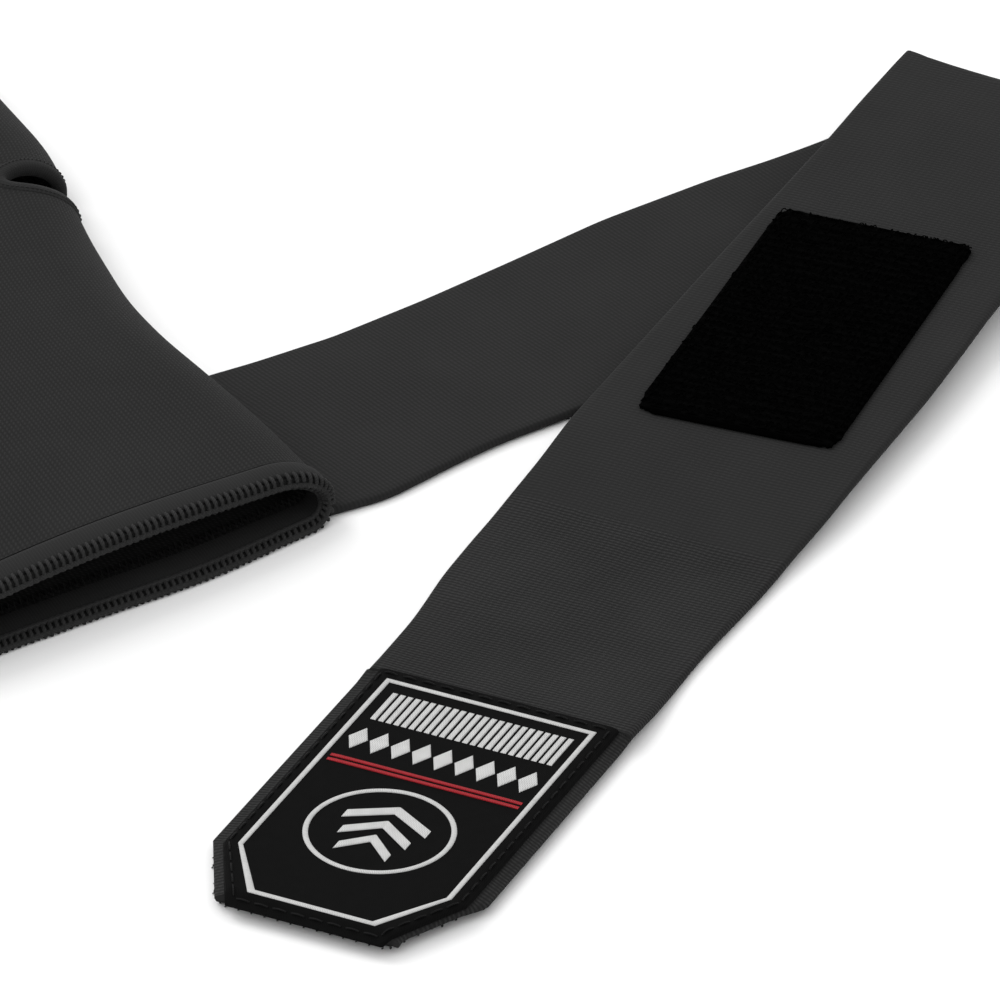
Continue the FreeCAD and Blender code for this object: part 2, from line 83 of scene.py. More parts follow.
# %% Floor and light
scene = bpy.context.scene
scene.view_settings.view_transform = "Standard"
floor_mesh = bpy.data.meshes.new("floor")
floor_mesh.from_pydata([(-6, -6, 0), (6, -6, 0), (6, 6, 0), (-6, 6, 0)], [], [(0, 1, 2, 3)])
floor = bpy.data.objects.new("floor", floor_mesh)
scene.collection.objects.link(floor)
floor_material = bpy.data.materials.new("pale_floor")
floor_material.use_nodes = True
floor_shader = floor_material.node_tree.nodes["Principled BSDF"]
floor_shader.inputs["Base Color"].default_value = (0.92, 0.92, 0.92, 1)
floor_shader.inputs["Roughness"].default_value = 0.9
floor_mesh.materials.append(floor_material)
scene.world = bpy.data.worlds.new("studio")
scene.world.use_nodes = True
sky = scene.world.node_tree.nodes["Background"]
sky.inputs["Color"].default_value = (1, 1, 1, 1)
sky.inputs["Strength"].default_value = 0.95


def add_panel(name, place, target, size, power):
    """A square area light at a place, facing a target, all in metres."""
    light = bpy.data.lights.new(name, "AREA")
    light.size = size
    light.energy = power
    panel = bpy.data.objects.new(name, light)
    panel.location = place
    panel.rotation_euler = (Vector(target) - Vector(place)).to_track_quat("-Z", "Y").to_euler()
    scene.collection.objects.link(panel)


add_panel("back_panel_light", (-0.5, 1.3, 1.5), (0.05, -0.05, 0), 1.2, 16)
add_panel("side_panel_light", (-1.6, -0.4, 1.4), (0.05, -0.05, 0), 1.2, 7)

# %% [markdown]
# Every new piece is a sheet of points worked out with numpy: a grid, joined into four-sided faces. One
# helper turns such a grid into a mesh with a UV map in millimetres, so that a weave has its real size on
# every piece. It can also make many equal shapes in one mesh, such as stitches, and it turns the faces
# outwards.

# %% Mesh helper
touch = 0.3                      # height in mm under which the table presses the cloth


def table_pressed(z):
    """Cloth on a table is pressed flat: heights under the touch shrink by an exponential, above zero."""
    return np.where(z < touch, touch * np.exp(np.minimum(z / touch - 1, 0)), z)


def add_mesh(name, points, uv, material, close_u=False, close_v=False, caps=False):
    """A mesh over k grids of nu by nv points in mm. Row i joins row i + 1, and the last joins the first
    where the grid is closed. Caps fill the two open ends with fans. The volume's sign tells if the faces
    look inwards, and then their corners are taken in the other order."""
    points = np.asarray(points, float)
    points = points[None] if points.ndim == 3 else points
    points = points * [1, 1, 0] + table_pressed(points[..., 2:]) * [0, 0, 1]
    k, nu, nv, _ = points.shape
    i, j = np.meshgrid(np.arange(nu - 1 + close_u), np.arange(nv - 1 + close_v), indexing="ij")
    around = [(i, j), (i + 1, j), (i + 1, j + 1), (i, j + 1)]
    quads = np.stack([((a % nu) * nv + b % nv).ravel() for a, b in around], -1)
    size = (nu + close_u, nv + close_v, 2)
    uv = np.broadcast_to(np.asarray(uv, float), (k,) + size)
    quad_uv = np.stack([uv[:, a.ravel(), b.ravel()] for a, b in around], 2)
    verts = points.reshape(k, nu * nv, 3)
    tris = np.zeros((0, 3), int)
    tri_uv = np.zeros((k, 0, 3, 2))
    if caps:
        middles = points[:, [0, -1]].mean(2)
        verts = np.concatenate([verts, middles], 1)
        c = np.arange(nv)
        first = np.stack([c, (c + 1) % nv, np.full(nv, nu * nv)], -1)
        far = (nu - 1) * nv
        last = np.stack([(c + 1) % nv + far, c + far, np.full(nv, nu * nv + 1)], -1)
        tris = np.concatenate([first, last])
        tri_uv = np.broadcast_to(uv[:, :1, :1].reshape(k, 1, 1, 2), (k, 2 * nv, 3, 2))
    one = verts[0] - verts[0].mean(0)
    fans = np.concatenate([quads[:, [0, 1, 2]], quads[:, [0, 2, 3]], tris])
    volume = np.einsum("ij,ij->i", one[fans[:, 0]], np.cross(one[fans[:, 1]], one[fans[:, 2]])).sum()
    if volume < 0:
        quads, quad_uv = quads[:, ::-1], quad_uv[:, :, ::-1]
        tris, tri_uv = tris[:, ::-1], tri_uv[:, :, ::-1]
    step = (np.arange(k) * verts.shape[1])[:, None, None]
    faces = (quads[None] + step).reshape(-1, 4).tolist() + (tris[None] + step).reshape(-1, 3).tolist()
    mesh = bpy.data.meshes.new(name)
    mesh.from_pydata((verts.reshape(-1, 3) * MM).tolist(), [], faces)
    layer = mesh.uv_layers.new(name="weave")
    flat = np.concatenate([quad_uv.reshape(-1, 2), tri_uv.reshape(-1, 2)])
    layer.data.foreach_set("uv", flat.ravel().astype(np.float32))
    mesh.shade_smooth()
    mesh.set_sharp_from_angle(angle=math.radians(60))
    mesh.materials.append(material)
    piece = bpy.data.objects.new(name, mesh)
    scene.collection.objects.link(piece)
    print(name, "faces:", len(faces), "size, mm:", np.round(np.ptp(points.reshape(-1, 3), 0), 1).tolist())
    return piece


def grid_uv(u, v):
    """A UV grid from the distances along rows and columns, in mm."""
    return np.stack(np.meshgrid(u, v, indexing="ij"), -1)


def wrapped(u, v):
    """A UV grid from two arrays, its first column repeated to close the way round."""
    uv = np.stack([u, v], -1)
    return np.concatenate([uv, uv[:, :1]], 1)


def walk_along(points, closed=True):
    """Distance walked from the first point to each, and back to the first where the line is closed."""
    line = np.concatenate([points, points[:1]]) if closed else points
    return np.concatenate([[0], np.cumsum(np.linalg.norm(np.diff(line, axis=0), axis=-1))])


def full_turn(count):
    """Equal angles once round, the last short of the first."""
    return np.linspace(0, 2 * math.pi, count, endpoint=False)


def squared_off(value, power):
    """A value raised to a power with its sign kept. A low power of sine and cosine squares a circle."""
    return np.sign(value) * np.abs(value) ** power


def smooth_line(stops, values, reach):
    """A curve through stops: straight runs between them, averaged over a sliding window of that reach."""
    fine = np.arange(stops[0] - 3 * reach, stops[-1] + 3 * reach, 0.5)
    window = np.hanning(int(reach / 0.5) * 2 + 1)
    level = np.interp(fine, stops, values)
    padded = np.pad(level, len(window) // 2, mode="edge")
    soft = np.convolve(padded, window / window.sum(), mode="valid")
    return lambda x: np.interp(x, fine, soft)


def unit(vectors):
    """The vectors divided by their lengths."""
    return vectors / np.maximum(np.linalg.norm(vectors, axis=-1, keepdims=True), 1e-9)


# %% [markdown]
# A cloth finish is a weave, a little colour variation, soft sheen and bump. All of them are formulas of the
# UV map's millimetres, built from sine and triangle waves. A small class keeps the node wiring short.

# %% Finish helper
class Finish:
    """A node material whose pattern is written as formulas of x and y, in mm along the piece's UV map."""

    def __init__(self, name, roughness, sheen=0.0):
        self.material = bpy.data.materials.new(name)
        self.material.use_nodes = True
        self.nodes = self.material.node_tree.nodes
        self.links = self.material.node_tree.links
        self.shader = self.nodes["Principled BSDF"]
        self.shader.inputs["Roughness"].default_value = roughness
        self.shader.inputs["Sheen Weight"].default_value = sheen
        self.shader.inputs["Sheen Roughness"].default_value = 0.5
        self.shader.inputs["Specular IOR Level"].default_value = 0.12
        place = self.nodes.new("ShaderNodeTexCoord")
        split = self.nodes.new("ShaderNodeSeparateXYZ")
        self.links.new(place.outputs["UV"], split.inputs[0])
        self.x, self.y = split.outputs[0], split.outputs[1]
        self.object = place.outputs["Object"]

    def math(self, operation, a, b=0.0, c=0.0):
        """One sum of two or three values or sockets."""
        node = self.nodes.new("ShaderNodeMath")
        node.operation = operation
        for socket, value in zip(node.inputs, (a, b, c)):
            if isinstance(value, (int, float)):
                socket.default_value = value
            else:
                self.links.new(value, socket)
        return node.outputs[0]

    def wave(self, value, pitch):
        """A sine wave of that pitch in mm, from 0 to 1."""
        angle = self.math("MULTIPLY_ADD", value, 2 * math.pi / pitch, 0.0)
        return self.math("MULTIPLY_ADD", self.math("SINE", angle), 0.5, 0.5)

    def zigzag(self, value, pitch):
        """A triangle wave of that pitch in mm, from 0 to half the pitch."""
        return self.math("PINGPONG", value, pitch / 2)

    def noise(self, scale, detail=3.0):
        """Soft random values about a half, of that scale per metre in object coordinates."""
        node = self.nodes.new("ShaderNodeTexNoise")
        node.inputs["Scale"].default_value = scale
        node.inputs["Detail"].default_value = detail
        self.links.new(self.object, node.inputs["Vector"])
        return node.outputs["Fac"]

    def colour(self, value, dark, light):
        """Mixes two colours by a value from 0 to 1. One number stands for a grey."""
        dark, light = ((tone,) * 3 if isinstance(tone, float) else tone for tone in (dark, light))
        node = self.nodes.new("ShaderNodeMix")
        node.data_type = "RGBA"
        node.clamp_factor = True
        self.links.new(value, node.inputs[0])
        node.inputs[6].default_value = (*dark, 1)
        node.inputs[7].default_value = (*light, 1)
        self.links.new(node.outputs[2], self.shader.inputs["Base Color"])

    def bump(self, value, height):
        """Raises the surface by the value, over a height in mm."""
        node = self.nodes.new("ShaderNodeBump")
        node.inputs["Distance"].default_value = height * MM
        node.inputs["Strength"].default_value = 1.0
        self.links.new(value, node.inputs["Height"])
        self.links.new(node.outputs[0], self.shader.inputs["Normal"])
        return self.material


# %% [markdown]
# The glove is a fine elastic knit. A knit stitch is a little V, so its columns lean one way and then the
# other: a triangle wave across shifts the sine wave along. The hems are the same yarn, folded and pressed
# smooth, and the overlock is a textured thread with a twist.

# %% Knit and thread finishes
def knit_finish(name, dark, light, wale, course, height):
    """V stitches: rows one course apart, shifted by a triangle wave one wale wide."""
    finish = Finish(name, 0.92, 0.02)
    lean = finish.math("MULTIPLY", finish.zigzag(finish.x, wale), course / wale)
    drift = finish.math("MULTIPLY", finish.noise(260.0, 2.0), course * 0.5)
    rows = finish.wave(finish.math("ADD", finish.math("ADD", finish.y, lean), drift), course)
    columns = finish.wave(finish.x, wale)
    relief = finish.math("MULTIPLY_ADD", finish.math("MULTIPLY", rows, columns), 0.75,
                         finish.math("MULTIPLY", columns, 0.25))
    patches = finish.noise(45.0, 3.0)
    tone = finish.math("ADD", finish.math("MULTIPLY", relief, 0.6), finish.math("MULTIPLY", patches, 0.5))
    finish.colour(tone, dark, light)
    return finish.bump(relief, height)


def thread_finish(name, dark, light, pitch, height, sheen):
    """A twisted thread: slanted waves across the UV map's two directions."""
    finish = Finish(name, 0.7, sheen)
    slant = finish.math("MULTIPLY_ADD", finish.y, 0.6, finish.x)
    twist = finish.wave(slant, pitch)
    tone = finish.math("MULTIPLY_ADD", finish.noise(900.0, 2.0), 0.5, finish.math("MULTIPLY", twist, 0.5))
    finish.colour(tone, dark, light)
    return finish.bump(twist, height)


glove_knit = knit_finish("glove_knit", 0.006, 0.022, 0.78, 0.95, 0.11)
hem_knit = knit_finish("hem_knit", 0.010, 0.021, 0.6, 0.5, 0.04)
pad_knit = knit_finish("pad_knit", 0.007, 0.019, 0.7, 0.55, 0.06)
overlock_thread = thread_finish("overlock_thread", 0.010, 0.026, 0.45, 0.05, 0.02)
# The black thread is real on the label's sewing. On the cuff's lip ring and along the hem's upper edge it is
# painted shade.
black_thread_and_painted_shade = thread_finish("black_thread_and_painted_shade", 0.001, 0.005, 0.4, 0.04, 0.0)
print("knit and thread finishes:", len(bpy.data.materials) - 1)

# %% [markdown]
# The strap is elastic webbing: crosswise ribs, where the rubber draws the yarn together, broken by fine
# lengthwise lines. Loop pile is a deep black nap in rows, hook tape is moulded nylon, and the label is a
# satin weave with raised threads, silver-grey and red.

# %% Webbing, pile, tape and label finishes
def webbing_finish(name, dark, light, height):
    """Ribs across the strap, wavering with noise, and fine lengthwise lines between them."""
    finish = Finish(name, 0.9, 0.02)
    drift = finish.math("MULTIPLY", finish.noise(120.0, 3.0), 1.1)
    ribs = finish.wave(finish.math("ADD", finish.y, drift), 0.78)
    lines = finish.wave(finish.math("ADD", finish.x, drift), 1.05)
    relief = finish.math("MULTIPLY", ribs, finish.math("MULTIPLY_ADD", lines, 0.5, 0.5))
    patches = finish.noise(60.0, 4.0)
    tone = finish.math("ADD", finish.math("MULTIPLY", relief, 0.6), finish.math("MULTIPLY", patches, 0.5))
    finish.colour(tone, dark, light)
    return finish.bump(relief, height)


def pile_finish():
    """A matt black nap with rows a little over two millimetres apart."""
    finish = Finish("loop_pile", 1.0)
    finish.shader.inputs["Specular IOR Level"].default_value = 0.01
    rows = finish.wave(finish.math("ADD", finish.y, finish.math("MULTIPLY", finish.noise(300.0), 1.5)), 2.2)
    tone = finish.math("MULTIPLY", rows, finish.noise(1500.0, 3.0))
    finish.colour(tone, 0.0001, 0.0016)
    return finish.bump(finish.noise(1800.0, 4.0), 0.3)


def tape_finish():
    """Charcoal nylon with a fine moulded grain."""
    finish = Finish("hook_tape", 0.7, 0.02)
    grain = finish.wave(finish.x, 1.2)
    tone = finish.math("MULTIPLY_ADD", finish.noise(700.0), 0.6, finish.math("MULTIPLY", grain, 0.4))
    finish.colour(tone, 0.006, 0.03)
    return finish.bump(grain, 0.05)


def satin_finish(name, dark, light, pitch, height, roughness, shine=0.12):
    """Satin weave: long floats side by side, each a narrow rounded line, with random breaks."""
    finish = Finish(name, roughness)
    finish.shader.inputs["Specular IOR Level"].default_value = shine
    floats = finish.wave(finish.x, pitch)
    breaks = finish.wave(finish.math("MULTIPLY_ADD", finish.x, 1.7, finish.y), pitch * 2.6)
    relief = finish.math("MULTIPLY_ADD", floats, 0.7, finish.math("MULTIPLY", breaks, 0.3))
    tone = finish.math("MULTIPLY_ADD", finish.noise(500.0, 3.0), 0.4, finish.math("MULTIPLY", relief, 0.6))
    finish.colour(tone, dark, light)
    return finish.bump(relief, height)


strap_webbing = webbing_finish("strap_webbing", 0.010, 0.021, 0.05)
ribbed_webbing = webbing_finish("ribbed_webbing", 0.004, 0.028, 0.16)
loop_pile = pile_finish()
hook_nylon = tape_finish()
label_satin = satin_finish("label_satin", 0.0005, 0.004, 0.28, 0.03, 0.75, 0.04)
silver_thread = satin_finish("silver_thread", 0.28, (0.72, 0.72, 0.71), 0.3, 0.05, 0.5)
red_thread = satin_finish("red_thread", (0.16, 0.004, 0.006), (0.42, 0.02, 0.03), 0.3, 0.05, 0.5)
print("finishes:", sorted(m.name for m in bpy.data.materials))

# %% [markdown]
# The glove's shape is one function: how far from the cuff, and how far round. Its section is an arched back
# over a flat palm. Two ellipse quarters make each side, so the cloth turns smoothly where the panels meet.
# The cuff is cut on a slant that fades towards the wrist.

# %% Glove surface
glove_length, cuff_y = 170.0, -85.0
wall = 1.6                       # thickness of the knit
seam_z = 4.0                     # height at which the back meets the palm
thumb_y, thumb_x, thumb_radius = 31.6, 42.7, 3.6     # the opening when no thumb holds it apart
back_flat, palm_flat = 0.70, 0.87    # share of each panel's half that is nearly flat
back_reach, palm_reach = 11.0, 5.0   # width of each panel's rounded side
cuff_lean = math.tan(math.radians(12.0))
lean_share, lip_share = 0.46, 0.12   # shares of the length over which the slant and the palm's lip fade
half_width = smooth_line([0, 25, 45, 62, 78.2, 102, 131, 170],
                         [44.6, 43.3, 41.2, 39.1, 38.6, 41.4, 47.0, 47.0], 12)
top_height = smooth_line([-10, 0, 40, 80, 120, 153, 170],
                         [12.0, 12.1, 12.9, 13.3, 13.0, 12.0, 11.5], 12)


def across(q, inner, reach, flat_share):
    """Distance from the middle: in proportion over the flat part, then the sine of a quarter turn."""
    turn = np.clip((np.abs(q) - flat_share) / (1 - flat_share), 0, 1) * math.pi / 2
    x = np.where(np.abs(q) < flat_share, inner * np.abs(q) / flat_share, inner + reach * np.sin(turn))
    return np.sign(q) * x, turn


def glove_skin(a, ring):
    """The outer face. a runs from the cuff, in mm; ring runs from 0, thumb side, over the back to 1 and under
    the palm to 2. The height on the back falls from the crown as a parabola, then as a quarter ellipse."""
    ring = np.mod(ring, 2.0)
    a, ring = np.broadcast_arrays(np.asarray(a, float), ring)
    half, top = half_width(a), top_height(a)
    back = ring < 1.0
    q = np.where(back, 1 - 2 * ring, 2 * ring - 3)
    x_back, turn_back = across(q, half - back_reach, back_reach, back_flat)
    x_palm, turn_palm = across(q, half - palm_reach, palm_reach, palm_flat)
    crown = top - 1.8 * (x_back / half) ** 2
    soft = 0.35 * np.sin(a / 17.0 + 0.6) * np.cos(x_back / 13.0 + a / 41.0)
    z_back = seam_z + (crown + soft - seam_z) * np.cos(turn_back)
    z_palm = seam_z * (1 - np.cos(turn_palm))
    x = np.where(back, x_back, x_palm)
    share = a / glove_length
    lean = cuff_lean * np.maximum(0.0, 1.0 - share / lean_share)
    bow = 1.5 + 1.5 * np.exp(-((x - 18) / 17) ** 2) - 0.8 * np.exp(-((x + 25) / 15) ** 2)
    lip = bow * np.maximum(0.0, 1.0 - np.maximum(share, 0) / lip_share) * (~back) * np.cos(turn_palm)
    y = cuff_y + a + lean * x - lip
    return np.stack([x, y, np.where(back, z_back, z_palm)], -1)


def glove(a, ring, rise=0.0):
    """The outer face moved out along its normal, which is the cross product of its two slopes."""
    along = glove_skin(a + 0.2, ring) - glove_skin(a - 0.2, ring)
    round_ = glove_skin(a, ring + 0.004) - glove_skin(a, ring - 0.004)
    normal = unit(np.cross(round_, along))
    middle = glove_skin(a, 0.5) * [1, 1, 0] + [0, 0, seam_z]
    inward = ((glove_skin(a, ring) - middle) * normal).sum(-1, keepdims=True) < 0
    normal = np.where(inward, -normal, normal)
    return glove_skin(a, ring) + normal * np.asarray(rise)[..., None]


print("cuff corner, mm:", np.round(glove_skin(0.0, 0.0), 1))
print("finger middle, mm:", np.round(glove_skin(glove_length, 0.5), 1))

# %% [markdown]
# The knit body is a double wall: the outer face and the inner face, joined at both ends. The thumb opening
# is cut by leaving out the faces inside its outline: on the back half an ellipse seen in plan, and on the
# palm only the very side. The hem sewn round the opening later covers that cut edge.

# %% Knit body
thumb_depth, thumb_floor = 10.5, 1.7     # depth of the cut in the back, and where the palm's cut starts
body_rows, body_columns = 150, 300       # rows along each face of the wall, and columns round it


def in_thumb_slot(points, extra):
    """True on the back inside an ellipse seen from above, or beside it towards the thumb side. The palm is
    cut only at its very side, so it shows through the opening."""
    x, y = points[..., 0] - thumb_x, points[..., 1] - thumb_y
    radius = thumb_radius + extra
    within = (x / (thumb_depth + extra)) ** 2 + (y / radius) ** 2 < 1
    beside = (x > np.where(points[..., 2] > seam_z, 0.0, thumb_floor - extra)) & (np.abs(y) < radius)
    return (within & (points[..., 2] > seam_z)) | beside


def add_knit_body():
    """Outer and inner faces as one closed grid: out along one, back along the other."""
    a = np.linspace(6.6, 164.6, body_rows)
    ring = np.linspace(0, 2, body_columns, endpoint=False)
    rise = np.concatenate([np.zeros(body_rows), [-wall / 2], np.full(body_rows, -wall), [-wall / 2]])
    a_all = np.concatenate([a, [164.9], a[::-1], [6.3]])
    points = glove(a_all[:, None], ring[None], np.repeat(rise[:, None], body_columns, 1))
    girth = walk_along(glove_skin(60.0, np.linspace(0, 2, body_columns + 1)), closed=False)
    body = add_mesh("glove_body", points, grid_uv(np.append(a_all, a_all[0]), girth)[..., ::-1],
                    glove_knit, close_u=True, close_v=True)
    mesh = body.data
    centre = np.zeros(len(mesh.polygons) * 3)
    mesh.polygons.foreach_get("center", centre)
    cut = in_thumb_slot(centre.reshape(-1, 3) / MM, 1.4)
    edit = bmesh.new()
    edit.from_mesh(mesh)
    edit.faces.ensure_lookup_table()
    bmesh.ops.delete(edit, geom=[edit.faces[i] for i in np.flatnonzero(cut)], context="FACES")
    rims = [e for e in edit.edges if e.is_boundary]
    loops = bmesh.ops.bridge_loops(edit, edges=rims)
    edit.to_mesh(mesh)
    edit.free()
    mesh.shade_smooth()
    print("thumb cut:", int(cut.sum()), "faces, bridged by", len(loops["faces"]))
    return body


glove_body = add_knit_body()

# %% [markdown]
# When the hand goes in, the back lifts away from the palm and the knit at the sides stretches. Here each
# piece either hangs on an empty named for its body or has its place baked into its mesh, and the CAD nodes
# that it stands for are hidden.

# %% How the pieces move
def dress(piece, body, slot, *nodes):
    """The piece rides on a body and stands for those CAD nodes, which are hidden. The slot is not used."""
    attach(piece, body)
    if nodes:
        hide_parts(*nodes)


def stretches(piece, *nodes, slot="hem"):
    """The piece's place is baked into its mesh, and it stands for those CAD nodes. The slot is not used."""
    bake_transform(piece)
    if nodes:
        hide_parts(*nodes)
    return piece


stretches(glove_body, "back_panel", "palm_panel", "side_seam_little_finger", "side_seam_thumb", slot="knit")

# %% [markdown]
# A hem is the knit folded back on itself, a little thicker than the wall, with rounded edges. Its section
# is a closed profile of distance from the cuff and rise above the outer face, carried once round the glove.

# %% Cuff and finger hems
def ring_band(name, profile, material):
    """Carries a closed profile of (distance from cuff, rise) round the glove's section."""
    profile = np.asarray(profile, float)
    count = 360
    ring = np.linspace(0, 2, count, endpoint=False)
    points = glove(profile[:, :1], ring[None], np.repeat(profile[:, 1:], count, 1))
    uv = grid_uv(walk_along(profile), np.linspace(0, 190.0, count + 1))[..., ::-1]
    return add_mesh(name, points, uv, material, close_u=True, close_v=True)


cuff_hem_profile = [(1.7, 0.1), (1.8, 0.42), (2.4, 0.6), (4.2, 0.62), (5.8, 0.55), (6.7, 0.35), (7.0, 0.0),
                    (7.0, -0.5), (7.0, -1.9), (6.0, -2.15), (3.0, -2.05), (1.6, -1.8), (1.5, -0.8)]
cuff_hem = ring_band("cuff_hem", cuff_hem_profile, hem_knit)
stretches(cuff_hem, "back_cuff_hem", "palm_cuff_hem")
# The black ring inside the cuff's lip is painted shade: it stands for the shadow in the gaps between the
# overlock bars.
lip_profile = [(1.9, 0.0), (0.9, 0.0), (0.35, -0.2), (0.2, -0.7), (0.35, -1.3), (0.9, -1.6), (1.9, -1.6)]
lip_shade_ring = ring_band("cuff_lip_painted_shade", lip_profile, black_thread_and_painted_shade)
stretches(lip_shade_ring)
finger_hem_profile = [(164.1, 0.1), (164.6, 0.4), (166.0, 0.5), (168.4, 0.45), (169.6, 0.1), (170.0, -0.7),
                      (169.7, -1.5), (168.4, -1.95), (166.0, -2.1), (164.5, -1.95), (164.0, -0.8)]
finger_hem = ring_band("finger_hem", finger_hem_profile, hem_knit)
stretches(finger_hem, "back_finger_hem", "palm_finger_hem")
print("hems carried round", len(cuff_hem_profile), "and", len(finger_hem_profile), "profile points")

# %% [markdown]
# Overlock thread binds the lip: each stitch is a bar that runs up the outside, over the edge and down the
# inside, and the dark gaps between the bars read as a ladder. Their dark is painted shade: a black ring round
# the lip, under the bars. One bar is a thin tube along a hooked path. All the bars are one mesh, and a rail
# of thread runs along their feet.

# %% Overlock and inner zigzag
def tubes(name, paths, radius, sides, material, close=False, caps=True):
    """Round tubes along k paths of m points: a circle in the plane across each path's direction."""
    paths = np.asarray(paths, float)
    ahead = np.roll(paths, -1, 1) - np.roll(paths, 1, 1) if close else np.gradient(paths, axis=1)
    ahead = unit(ahead)
    up = np.array([0.0, 0.0, 1.0]) + 0 * ahead
    up = np.where(np.abs(ahead[..., 2:]) > 0.9, np.array([1.0, 0.0, 0.0]), up)
    side = unit(np.cross(ahead, up))
    top = np.cross(side, ahead)
    turn = full_turn(sides)
    ring = side[:, :, None] * np.cos(turn)[:, None] + top[:, :, None] * np.sin(turn)[:, None]
    points = paths[:, :, None] + ring * radius
    length = walk_along(paths[0], closed=False)
    if close:
        length = np.append(length, length[-1] + np.diff(length).mean())
    uv = grid_uv(length, np.linspace(0, 2 * math.pi * radius, sides + 1))
    return add_mesh(name, points, uv, material, close_u=close, close_v=True, caps=caps and not close)


bar_count = 146                  # overlock stitches round the cuff
round_count = 720                # points of a line of thread round the cuff
zigzag_count = 300


def overlock_bars():
    """Paths of a hook: out at the foot, along the outer face, round the lip and back along the inner face."""
    hook = np.array([(2.2, 0.3), (1.7, 0.42), (1.0, 0.36), (0.5, 0.12), (0.18, -0.25), (0.1, -0.8),
                     (0.18, -1.3), (0.6, -1.65), (1.3, -1.85), (2.0, -1.8)])
    ring = 2.0 * (np.arange(bar_count) + 0.5) / bar_count
    wander = rng.normal(0, 0.06, (bar_count, 1))
    return glove(hook[None, :, 0] + wander, ring[:, None], np.repeat(hook[None, :, 1], bar_count, 0))


def thread_round(a, ring, rise):
    """The path of a thread once round the glove, at a distance from the cuff and one rise."""
    return glove(a, ring, np.full(len(ring), rise))


bars = tubes("overlock_bars", overlock_bars(), 0.36, 7, overlock_thread)
ring = np.linspace(0, 2, round_count, endpoint=False)
weave = 0.08 * np.sin(ring * math.pi * bar_count)
rails = [thread_round(0.12 + weave, ring, -0.95), thread_round(1.6 + weave, ring, -1.95)]
rail_piece = tubes("overlock_rails", rails, 0.46, 8, overlock_thread, close=True)
# A thin black ring at the hem's upper edge is painted shade: it darkens the groove where the hem steps down
# to the knit.
hem_edge_shade = tubes("cuff_hem_edge_painted_shade", [thread_round(7.2, ring, 0.02)], 0.2, 6, black_thread_and_painted_shade, close=True)
zig = np.where(np.arange(zigzag_count) % 2, 7.4, 9.3)
zigzag_ring = np.linspace(0, 2, zigzag_count, endpoint=False)
zigzag = tubes("inner_zigzag", [thread_round(zig, zigzag_ring, -1.95)], 0.27, 5, overlock_thread, close=True)
for piece in (rail_piece, hem_edge_shade, zigzag):
    stretches(piece, slot="overlock_thread")
stretches(bars, "back_cuff_overlock", "palm_cuff_overlock", slot="overlock_thread")

# %% [markdown]
# The thumb opening's hem is the same folded knit, carried round a closed curve on the glove's surface: half
# an ellipse on the back, over the side, straight along the palm's side, and back over the side. The profile
# stands across the curve, and its inner edge is the opening.

# %% Thumb hem
def ring_at(x, half, reach, flat_share, back):
    """The ring coordinate of a distance from the middle: the flat share, then the inverse of the sine."""
    inner = half - reach
    turn = np.arcsin(np.clip((x - inner) / reach, 0, 1)) * 2 / math.pi
    q = np.where(x < inner, flat_share * x / inner, flat_share + (1 - flat_share) * turn)
    return (1 - q) / 2 if back else -(1 - q) / 2


outline_count = 220              # points round the thumb opening


def thumb_outline(extra):
    """The closed curve round the opening as (distance from cuff, ring), equally spaced along its length."""
    radius = thumb_radius + extra
    turn = np.linspace(-math.pi / 2, math.pi / 2, 60)
    a = thumb_y + radius * np.sin(turn) - cuff_y
    back = ring_at(thumb_x - (thumb_depth + extra) * np.cos(turn), half_width(a), back_reach, back_flat, True)
    palm = ring_at(thumb_x + thumb_floor - extra + 0 * a, half_width(a), palm_reach, palm_flat, False)
    fade = np.linspace(0, 1, 40)[1:-1]
    side_far = np.stack([np.full(38, a[-1]), back[-1] + (palm[-1] - back[-1]) * fade], -1)
    side_near = np.stack([np.full(38, a[0]), palm[0] + (back[0] - palm[0]) * fade], -1)
    loop = np.concatenate([np.stack([a, back], -1), side_far, np.stack([a, palm], -1)[::-1], side_near])
    walk = walk_along(glove_skin(loop[:, 0], loop[:, 1]))
    want = np.linspace(0, walk[-1], outline_count, endpoint=False)
    loop = np.concatenate([loop, loop[:1]])
    return np.stack([np.interp(want, walk, loop[:, k]) for k in (0, 1)], -1), walk[-1]


def add_thumb_hem():
    """Profile points (distance from the opening's edge, rise) on curves at those distances."""
    profile = [(-0.2, -0.8), (-0.05, -0.3), (0.3, 0.15), (1.2, 0.35), (2.4, 0.3), (3.0, 0.1), (3.1, -0.4),
               (3.1, -1.3), (2.6, -2.0), (1.2, -2.15), (0.3, -1.9), (-0.05, -1.4)]
    curves = np.stack([thumb_outline(d)[0] for d, _ in profile])
    rises = np.array([rise for _, rise in profile])[:, None] + np.zeros((1, outline_count))
    points = glove(curves[..., 0], curves[..., 1], rises)
    length = thumb_outline(1.0)[1]
    uv = grid_uv(np.linspace(0, 9, len(profile) + 1), np.linspace(0, length, outline_count + 1))[..., ::-1]
    return add_mesh("thumb_hem", points, uv, hem_knit, close_u=True, close_v=True)


stretches(add_thumb_hem(), "back_thumb_hem", "palm_thumb_hem")

# %% [markdown]
# Coverstitch holds each hem down: short thread dashes in a row. Each dash is a small arch that dips into
# the knit at both ends, so it needs only a path of five points.

# %% Hem stitches
def dashes(start, end, lift, sink):
    """Arched paths between pairs of (distance from cuff, ring) points: height is a half sine."""
    t = np.linspace(0, 1, 5)
    at = start[:, None] + (end - start)[:, None] * t[None, :, None]
    return glove(at[..., 0], at[..., 1], sink + lift * np.sin(math.pi * t)[None] + np.zeros(at.shape[:2]))


